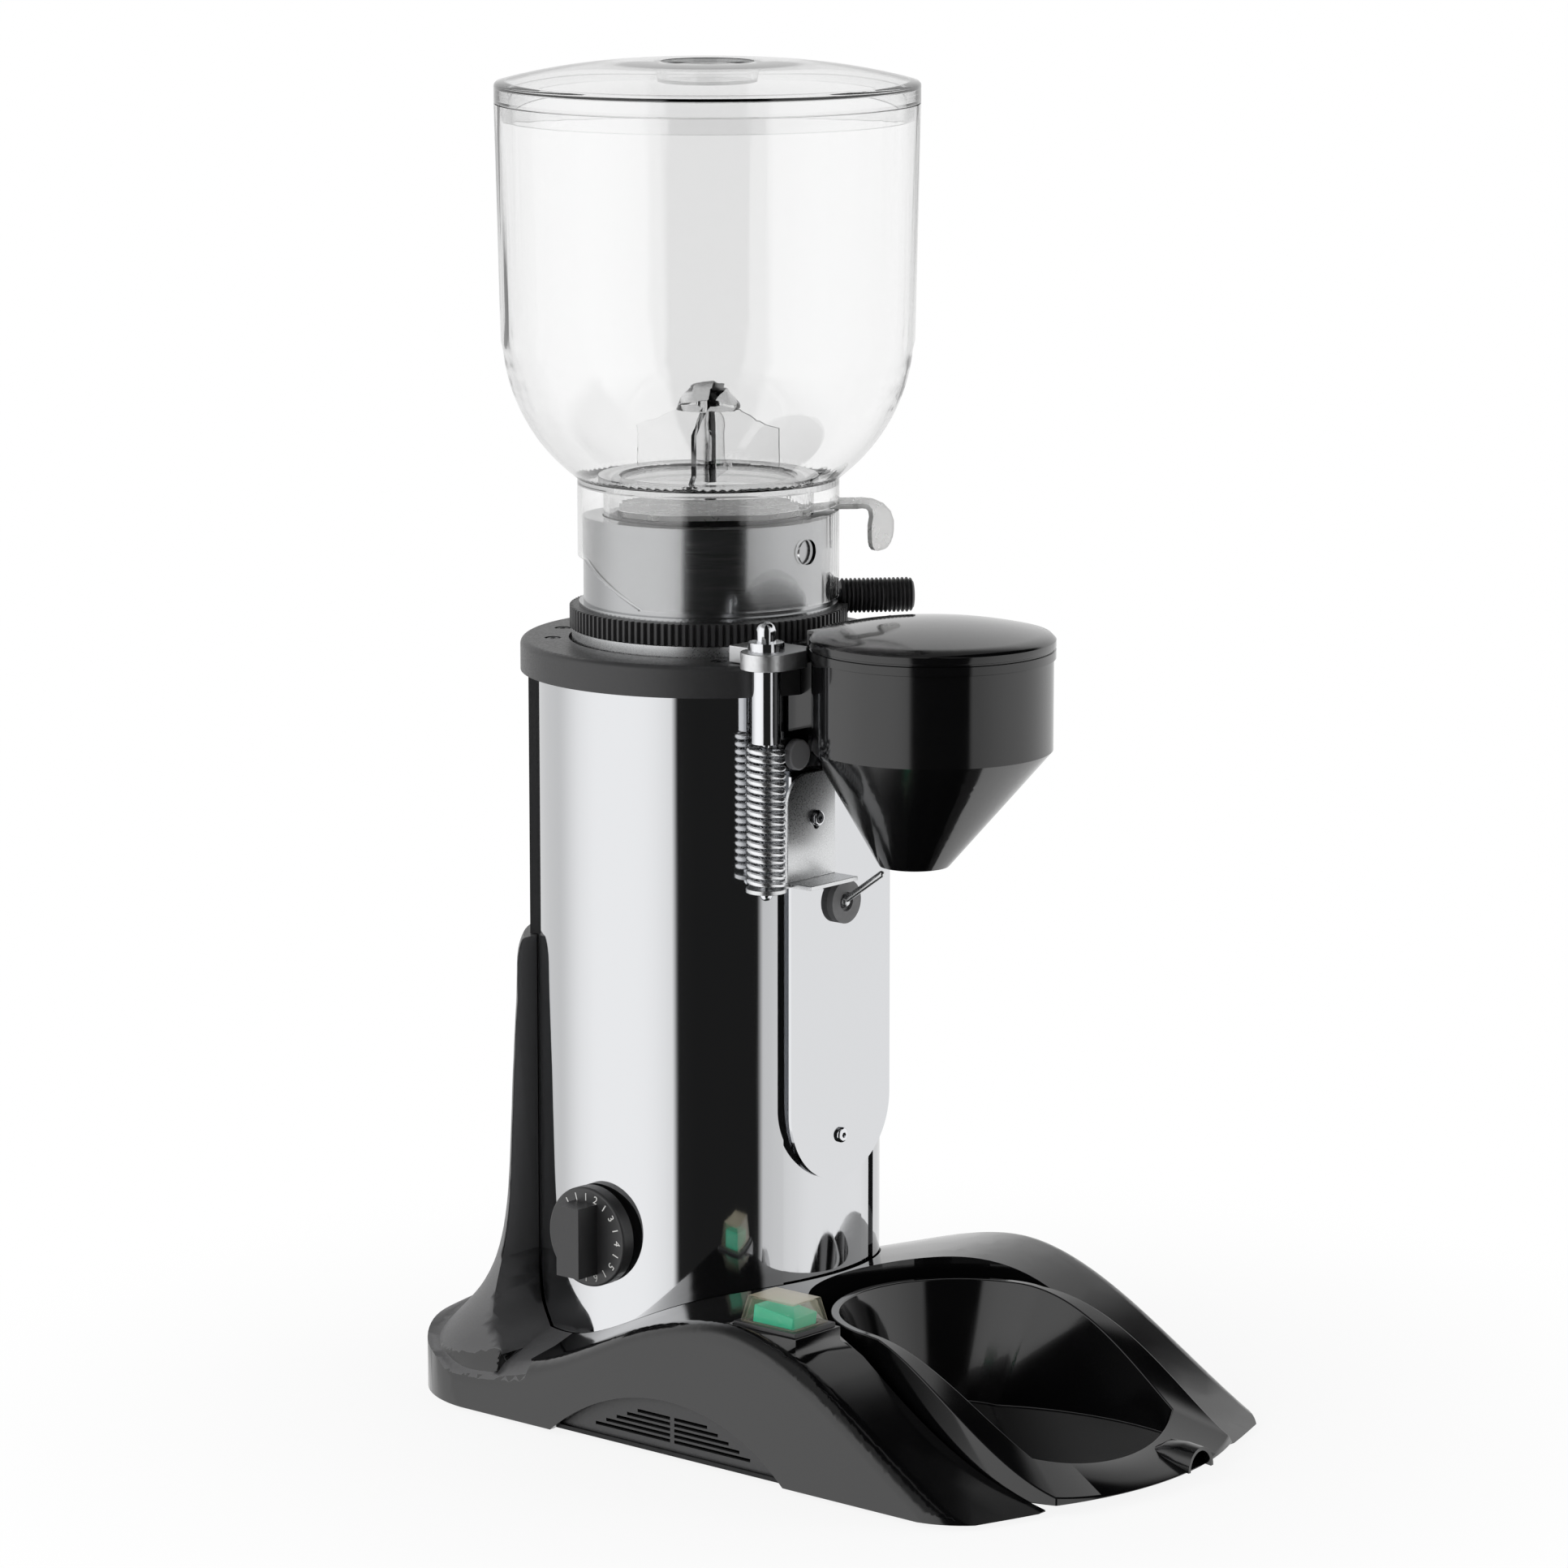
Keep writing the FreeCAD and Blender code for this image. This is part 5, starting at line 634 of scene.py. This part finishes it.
stretch(paddle_shape, rows)
paddle = place_piece(paddle_shape, "gate_paddle", "polycarbonate_milky", "hopper_gate", bevel=0.6)
thicken(paddle, PADDLE_WALL)
print("paddle rows:", len(rows))

# %% [markdown]
# ## Pieces that follow a rule
# A spring, a ribbed grip and the marks of a dial are each one small shape carried along a path,
# which is what Geometry Nodes are for. Every tree below is built here with named inputs for its
# sizes, is run once, and leaves a plain mesh behind.

# %% Starting and running a tree
GROWN_SHARP_ANGLE = math.radians(40)


def start_tree(name, sizes):
    """A geometry tree with one named input for each size, and the sockets that give them."""
    tree = bpy.data.node_groups.new(name, "GeometryNodeTree")
    for size, value in sizes.items():
        kind = "NodeSocketFloat"
        if isinstance(value, int):
            kind = "NodeSocketInt"
        if isinstance(value, tuple):
            kind = "NodeSocketVector"
        tree.interface.new_socket(size, in_out="INPUT", socket_type=kind)
    tree.interface.new_socket("Mesh", in_out="OUTPUT", socket_type="NodeSocketGeometry")
    return tree, add_node(tree, "NodeGroupInput").outputs


def grow(tree, last, sizes, finish, body):
    """Ends the tree, runs it with these sizes and returns a piece that rides on the body."""
    real = add_node(tree, "GeometryNodeRealizeInstances", links={0: last})
    dressed = add_node(tree, "GeometryNodeSetMaterial", {"Material": FINISH[finish]}, {0: real.outputs[0]})
    add_node(tree, "NodeGroupOutput", links={0: dressed.outputs[0]})
    piece = add_piece(tree.name, bpy.data.meshes.new(tree.name))
    modifier = piece.modifiers.new("grow", "NODES")
    modifier.node_group = tree
    for socket in tree.interface.items_tree:
        if socket.in_out == "INPUT":
            modifier[socket.identifier] = sizes[socket.name]
    ready = piece.evaluated_get(bpy.context.evaluated_depsgraph_get())
    mesh = bpy.data.meshes.new_from_object(ready)
    piece.modifiers.remove(modifier)
    piece.data = mesh
    shade(mesh, GROWN_SHARP_ANGLE)
    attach(piece, body)
    print(tree.name, "faces:", len(mesh.polygons))
    return piece


print("a grown edge is sharp from, in degrees:", round(math.degrees(GROWN_SHARP_ANGLE)))

# %% [markdown]
# ### The rest's spring
# A coil of zinc plated wire round the guide post pushes the portafilter rest down. It is a spiral
# curve with a circle swept along it.

# %% Spring
SPRING_X = -55.5 * MM
SPRING_Y = AXIS_Y - 84 * MM
SPRING_FOOT_Z = 264.2 * MM
SPRING_LENGTH = 67.6 * MM
SPRING_INSET = 1.15 * MM
spring_sizes = {"Coil radius": 7.9 * MM, "Wire radius": 1.4 * MM, "Turns": 18.0,
                "Length": SPRING_LENGTH - 2 * SPRING_INSET,
                "Place": (SPRING_X, SPRING_Y, SPRING_FOOT_Z + SPRING_INSET)}
tree, given = start_tree("rest_spring_coil", spring_sizes)
coil = add_node(tree, "GeometryNodeCurveSpiral", {"Resolution": 40},
                {"Rotations": given["Turns"], "Start Radius": given["Coil radius"],
                 "End Radius": given["Coil radius"], "Height": given["Length"]})
wire = add_node(tree, "GeometryNodeCurvePrimitiveCircle", {"Resolution": 12},
                {"Radius": given["Wire radius"]})
swept = add_node(tree, "GeometryNodeCurveToMesh", {"Fill Caps": True},
                 {"Curve": coil.outputs[0], "Profile Curve": wire.outputs[0]})
placed = add_node(tree, "GeometryNodeTransform",
                  links={"Geometry": swept.outputs[0], "Translation": given["Place"]})
spring = grow(tree, placed.outputs[0], spring_sizes, "spring_wire", "frame")
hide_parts("rest_spring")
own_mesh(spring)

# %% [markdown]
# ### The ribbed grip
# The collar's handle ends in a moulded grip with a row of ribs. It is a straight line with a
# circle swept along it, and the width of the sweep rises and falls with a cosine, so one number
# sets how many ribs there are. Near its end the grip gets narrower, like a blunt nose.

# %% Grip
HANDLE_ANGLE = math.radians(-42)
HANDLE_Z = 384.5 * MM


def on_handle(radius):
    """A point on the handle's axis, at this distance in mm from the column's axis."""
    return (radius * MM * math.cos(HANDLE_ANGLE), AXIS_Y + radius * MM * math.sin(HANDLE_ANGLE), HANDLE_Z)


grip_sizes = {"Start": on_handle(63), "End": on_handle(98), "Radius": 8.3 * MM, "Ribs": 17.0, "Groove": 0.11}
tree, given = start_tree("handle_grip_ribbed", grip_sizes)
line = add_node(tree, "GeometryNodeCurvePrimitiveLine", links={"Start": given["Start"], "End": given["End"]})
fine = add_node(tree, "GeometryNodeResampleCurve", {"Count": 161}, {"Curve": line.outputs[0]})
along = add_node(tree, "GeometryNodeSplineParameter")
turns = add_node(tree, "ShaderNodeMath", {"operation": "MULTIPLY"},
                 {0: along.outputs["Factor"], 1: given["Ribs"]})
angle = add_node(tree, "ShaderNodeMath", {"operation": "MULTIPLY", 1: 2 * math.pi}, {0: turns.outputs[0]})
wave = add_node(tree, "ShaderNodeMath", {"operation": "COSINE"}, {0: angle.outputs[0]})
deep = add_node(tree, "ShaderNodeMapRange",
                {"interpolation_type": "SMOOTHSTEP", "From Min": -0.8, "From Max": 0.6, "To Min": 0.0},
                {"Value": wave.outputs[0], "To Max": given["Groove"]})
rib = add_node(tree, "ShaderNodeMath", {"operation": "SUBTRACT", 0: 1.0}, {1: deep.outputs["Result"]})
nose = add_node(tree, "ShaderNodeMapRange",
                {"From Min": 0.95, "From Max": 1.0, "To Min": 1.0, "To Max": 0.86},
                {"Value": along.outputs["Factor"]})
width = add_node(tree, "ShaderNodeMath", {"operation": "MULTIPLY"},
                 {0: rib.outputs[0], 1: nose.outputs["Result"]})
ring = add_node(tree, "GeometryNodeCurvePrimitiveCircle", {"Resolution": 40}, {"Radius": given["Radius"]})
swept = add_node(tree, "GeometryNodeCurveToMesh", {"Fill Caps": True},
                 {"Curve": fine.outputs[0], "Profile Curve": ring.outputs[0], "Scale": width.outputs[0]})
grip = grow(tree, swept.outputs[0], grip_sizes, "abs_etched", "adjuster")
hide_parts("handle_grip")

# %% [markdown]
# ### Marks on the dial
# The timer's dial is printed with plain numbers and a short line between each two. The lines are
# one thin bar set on points round the dial. The bar is turned by the same angle that places it,
# so every line points at the middle.

# %% Dial lines
DIAL_AT = Vector((-90.4 * MM, AXIS_Y - 1.5 * MM, 90 * MM))
NUMBERS = 9
MARK_FIRST = math.radians(-54)
MARK_STEP = math.radians(18)
MARK_RADIUS = 19.6 * MM
line_sizes = {"Middle": tuple(DIAL_AT), "Radius": MARK_RADIUS, "Bar": (0.08 * MM, 0.55 * MM, 3.6 * MM),
              "Lines": NUMBERS - 1, "First": MARK_FIRST + MARK_STEP, "Step": 2 * MARK_STEP}
tree, given = start_tree("dial_lines", line_sizes)
spots = add_node(tree, "GeometryNodeMeshLine", {"Offset": (0, 0, 0)}, {"Count": given["Lines"]})
count = add_node(tree, "GeometryNodeInputIndex")
steps = add_node(tree, "ShaderNodeMath", {"operation": "MULTIPLY"}, {0: count.outputs[0], 1: given["Step"]})
angle = add_node(tree, "ShaderNodeMath", {"operation": "ADD"}, {0: steps.outputs[0], 1: given["First"]})
turned = add_node(tree, "ShaderNodeCombineXYZ", links={"X": angle.outputs[0]})
out = add_node(tree, "ShaderNodeCombineXYZ", links={"Z": given["Radius"]})
swung = add_node(tree, "ShaderNodeVectorRotate", {"rotation_type": "X_AXIS"},
                 {"Vector": out.outputs[0], "Angle": angle.outputs[0]})
where = add_node(tree, "ShaderNodeVectorMath", {"operation": "ADD"},
                 {0: swung.outputs[0], 1: given["Middle"]})
moved = add_node(tree, "GeometryNodeSetPosition",
                 links={"Geometry": spots.outputs[0], "Position": where.outputs[0]})
bar = add_node(tree, "GeometryNodeMeshCube", links={"Size": given["Bar"]})
lines = add_node(tree, "GeometryNodeInstanceOnPoints",
                 links={"Points": moved.outputs[0], "Instance": bar.outputs[0],
                        "Rotation": turned.outputs[0]})
dial_lines = grow(tree, lines.outputs[0], line_sizes, "marking_ink", "dial")

# %% [markdown]
# The numbers are text objects. A text is made a mesh while it still lies flat at the origin, and a
# matrix then stands it on the dial with its top pointing outwards. All numbers end in one mesh.

# %% Dial numbers
DIGIT_HEIGHT = 5.4 * MM
INK_DEPTH = 0.04 * MM
DIAL_FACING = Vector((-1, 0, 0))


def printed(text, height):
    """The text as a flat mesh round the origin, facing +Z, with a hair of thickness."""
    words = bpy.data.curves.new("words", "FONT")
    words.body = text
    words.size = height
    words.align_x = "CENTER"
    words.align_y = "CENTER"
    words.extrude = INK_DEPTH
    words.resolution_u = 3
    holder = add_piece("words", words)
    mesh = bpy.data.meshes.new_from_object(holder.evaluated_get(bpy.context.evaluated_depsgraph_get()))
    bpy.data.objects.remove(holder)
    return mesh


numbers = bmesh.new()
for number in range(NUMBERS):
    angle = MARK_FIRST + 2 * number * MARK_STEP
    outward = Vector((0, -math.sin(angle), math.cos(angle)))
    turn = Matrix((outward.cross(DIAL_FACING), outward, DIAL_FACING)).transposed().to_4x4()
    digits = printed(str(number), DIGIT_HEIGHT)
    digits.transform(Matrix.Translation(DIAL_AT + outward * MARK_RADIUS) @ turn)
    numbers.from_mesh(digits)
    bpy.data.meshes.remove(digits)
number_mesh = bpy.data.meshes.new("dial_numbers")
numbers.to_mesh(number_mesh)
numbers.free()
number_mesh.materials.append(FINISH["marking_ink"])
dial_numbers = add_piece("dial_numbers", number_mesh)
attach(dial_numbers, "dial")
print("dial numbers:", len(number_mesh.polygons), "faces")

# %% [markdown]
# ## The studio
# Mirror steel and black gloss show the room and little else, so the room is most of the picture.
# It is a white tent that the world paints by direction. A part of its wall is named by its azimuth,
# in degrees round Z, and the same small chain of nodes lightens or darkens each such part.

# %% World by direction
DARK_AZIMUTH = 227
LEFT_LAMP_AZIMUTH = 157
RIGHT_LAMP_AZIMUTH = 318
DARK_CORNER_AZIMUTH = 334
world = bpy.data.worlds.new("tent")
bpy.context.scene.world = world
world.use_nodes = True
room = world.node_tree
room.nodes.clear()
view = add_node(room, "ShaderNodeTexCoord")
flat = add_node(room, "ShaderNodeVectorMath", {"operation": "MULTIPLY", 1: (1, 1, 0)},
                {0: view.outputs["Generated"]})
level = add_node(room, "ShaderNodeVectorMath", {"operation": "NORMALIZE"}, {0: flat.outputs[0]})
height = add_node(room, "ShaderNodeSeparateXYZ", links={0: view.outputs["Generated"]})


def sector(azimuth, inner, outer, low, high):
    """A value that is high within inner degrees of an azimuth and low beyond outer degrees."""
    toward = (math.cos(math.radians(azimuth)), math.sin(math.radians(azimuth)), 0)
    near = add_node(room, "ShaderNodeVectorMath", {"operation": "DOT_PRODUCT", 1: toward},
                    {0: level.outputs[0]})
    return add_node(room, "ShaderNodeMapRange",
                    {"interpolation_type": "SMOOTHSTEP", "From Min": math.cos(math.radians(outer)),
                     "From Max": math.cos(math.radians(inner)), "To Min": low, "To Max": high},
                    {"Value": near.outputs["Value"]}).outputs["Result"]


print("lamps at azimuths:", LEFT_LAMP_AZIMUTH, RIGHT_LAMP_AZIMUTH)

# %% [markdown]
# The tent has a soft lamp on the left and a weaker one on the right, a dark gap behind the camera
# that gives the steel its black stripe, a dark upper corner on the right, which turns the steep
# front of the base black, and a dim top. The lamps are added up, and each dark part multiplies them.

# %% World light
left = sector(LEFT_LAMP_AZIMUTH, inner=2, outer=58, low=0.86, high=1.38)
right = sector(RIGHT_LAMP_AZIMUTH, inner=10, outer=60, low=0.0, high=0.33)
gap = sector(DARK_AZIMUTH, inner=26, outer=31, low=1.0, high=0.02)
ceiling = add_node(room, "ShaderNodeMapRange",
                   {"interpolation_type": "SMOOTHSTEP", "From Min": 0.5, "From Max": 0.8,
                    "To Min": 1.0, "To Max": 0.24},
                   {"Value": height.outputs["Z"]}).outputs["Result"]
upper = add_node(room, "ShaderNodeMapRange",
                 {"interpolation_type": "SMOOTHSTEP", "From Min": 0.42, "From Max": 0.58,
                  "To Min": 0.0, "To Max": 1.0},
                 {"Value": height.outputs["Z"]}).outputs["Result"]
corner_side = sector(DARK_CORNER_AZIMUTH, inner=28, outer=36, low=0.0, high=1.0)
corner = add_node(room, "ShaderNodeMath", {"operation": "MULTIPLY"}, {0: corner_side, 1: upper})
bright = add_node(room, "ShaderNodeMath", {"operation": "SUBTRACT", 0: 1.0}, {1: corner.outputs[0]})
lamps = add_node(room, "ShaderNodeMath", {"operation": "ADD"}, {0: left, 1: right})
open_walls = add_node(room, "ShaderNodeMath", {"operation": "MULTIPLY"}, {0: lamps.outputs[0], 1: gap})
walls = add_node(room, "ShaderNodeMath", {"operation": "MULTIPLY"},
                 {0: open_walls.outputs[0], 1: bright.outputs[0]})
tent = add_node(room, "ShaderNodeMath", {"operation": "MULTIPLY"}, {0: walls.outputs[0], 1: ceiling})
print("world nodes for the light:", len(room.nodes))

# %% [markdown]
# The camera sees plain white instead of the tent, also through the clear plastics, as long as no
# mirror is on the way. Light Path tells what kind of ray arrives and how often it was mirrored.

# %% World backdrop
path = add_node(room, "ShaderNodeLightPath")
through = add_node(room, "ShaderNodeMath", {"operation": "MAXIMUM"},
                   {0: path.outputs["Is Camera Ray"], 1: path.outputs["Is Transmission Ray"]})
straight = add_node(room, "ShaderNodeMath", {"operation": "LESS_THAN", 1: 0.5},
                    {0: path.outputs["Glossy Depth"]})
seen = add_node(room, "ShaderNodeMath", {"operation": "MULTIPLY"},
                {0: through.outputs[0], 1: straight.outputs[0]})
shine = add_node(room, "ShaderNodeBackground", {"Color": linear("#ffffff")}, {"Strength": tent.outputs[0]})
white = add_node(room, "ShaderNodeBackground", {"Color": linear("#ffffff"), "Strength": 1.0})
backdrop = add_node(room, "ShaderNodeMixShader",
                    links={0: seen.outputs[0], 1: shine.outputs[0], 2: white.outputs[0]})
add_node(room, "ShaderNodeOutputWorld", links={"Surface": backdrop.outputs[0]})
print("world nodes:", len(room.nodes))

# %% [markdown]
# Two large soft lamps shape the dull surfaces. They stay out of the reflections, because the world
# already paints a lamp there.

# %% Lamps
LAMPS_AIM = Vector((0, AXIS_Y, 0.3))


def soft_lamp(name, azimuth, distance, above, size, watts):
    """A square lamp that looks at the middle of the grinder; lengths are in metres."""
    lamp = bpy.data.lights.new(name, "AREA")
    lamp.size = size
    lamp.energy = watts
    angle = math.radians(azimuth)
    holder = add_piece(name, lamp)
    holder.location = LAMPS_AIM + Vector((math.cos(angle) * distance, math.sin(angle) * distance, above))
    holder.rotation_euler = (LAMPS_AIM - holder.location).to_track_quat("-Z", "Y").to_euler()
    holder.visible_glossy = False
    holder.visible_transmission = False


soft_lamp("left_lamp", LEFT_LAMP_AZIMUTH, distance=1.7, above=0.7, size=1.0, watts=11)
soft_lamp("right_lamp", RIGHT_LAMP_AZIMUTH, distance=1.9, above=0.8, size=1.0, watts=9)
print("lamps:", len(bpy.data.lights))

# %% [markdown]
# The floor is white. For the camera it glows at strength 1, and near the grinder a part of it takes
# light as usual, which keeps a soft shadow under the base.

# %% Floor
FLOOR_RADIUS = 4.0
paper = bpy.data.materials.new("white_paper")
paper.use_nodes = True
sheet = paper.node_tree
sheet.nodes.clear()
path = add_node(sheet, "ShaderNodeLightPath")
spot = add_node(sheet, "ShaderNodeTexCoord")
away = add_node(sheet, "ShaderNodeVectorMath", {"operation": "LENGTH"}, {0: spot.outputs["Object"]})
glowing = add_node(sheet, "ShaderNodeMapRange",
                   {"interpolation_type": "SMOOTHSTEP", "From Min": 0.12, "From Max": 0.5,
                    "To Min": 0.88, "To Max": 1.0},
                   {"Value": away.outputs["Value"]})
share = add_node(sheet, "ShaderNodeMath", {"operation": "MULTIPLY"},
                 {0: path.outputs["Is Camera Ray"], 1: glowing.outputs["Result"]})
dull = add_node(sheet, "ShaderNodeBsdfDiffuse", {"Color": linear("#f0f0f0")})
glow = add_node(sheet, "ShaderNodeEmission", {"Color": linear("#ffffff"), "Strength": 1.0})
mixed = add_node(sheet, "ShaderNodeMixShader",
                 links={0: share.outputs[0], 1: dull.outputs[0], 2: glow.outputs[0]})
add_node(sheet, "ShaderNodeOutputMaterial", links={"Surface": mixed.outputs[0]})

floor_shape = bmesh.new()
bmesh.ops.create_circle(floor_shape, cap_ends=True, segments=64, radius=FLOOR_RADIUS)
floor_mesh = bpy.data.meshes.new("floor")
floor_shape.to_mesh(floor_mesh)
floor_shape.free()
floor_mesh.materials.append(paper)
floor = add_piece("floor", floor_mesh)
floor.visible_glossy = False
floor.visible_transmission = False
print("floor radius in m:", FLOOR_RADIUS)

# %% [markdown]
# ## The camera
# The picture was taken from the front left, from a little above the hopper's lid, with a long lens
# that keeps upright lines nearly parallel. Place and direction were fitted to the picture's lines.

# %% Camera
CAMERA_AT = Vector((-2.2039, -1.8552, 0.8432))
CAMERA_LOOKS = Vector((0.7456, 0.6406, -0.1836))
lens = bpy.data.cameras.new("camera")
lens.sensor_width = 36
lens.lens = 143.69
camera = add_piece("camera", lens)
camera.location = CAMERA_AT
camera.rotation_euler = CAMERA_LOOKS.to_track_quat("-Z", "Y").to_euler()
bpy.context.scene.camera = camera
bpy.context.scene.view_settings.view_transform = "Standard"
print("camera height in m:", round(CAMERA_AT.z, 2))
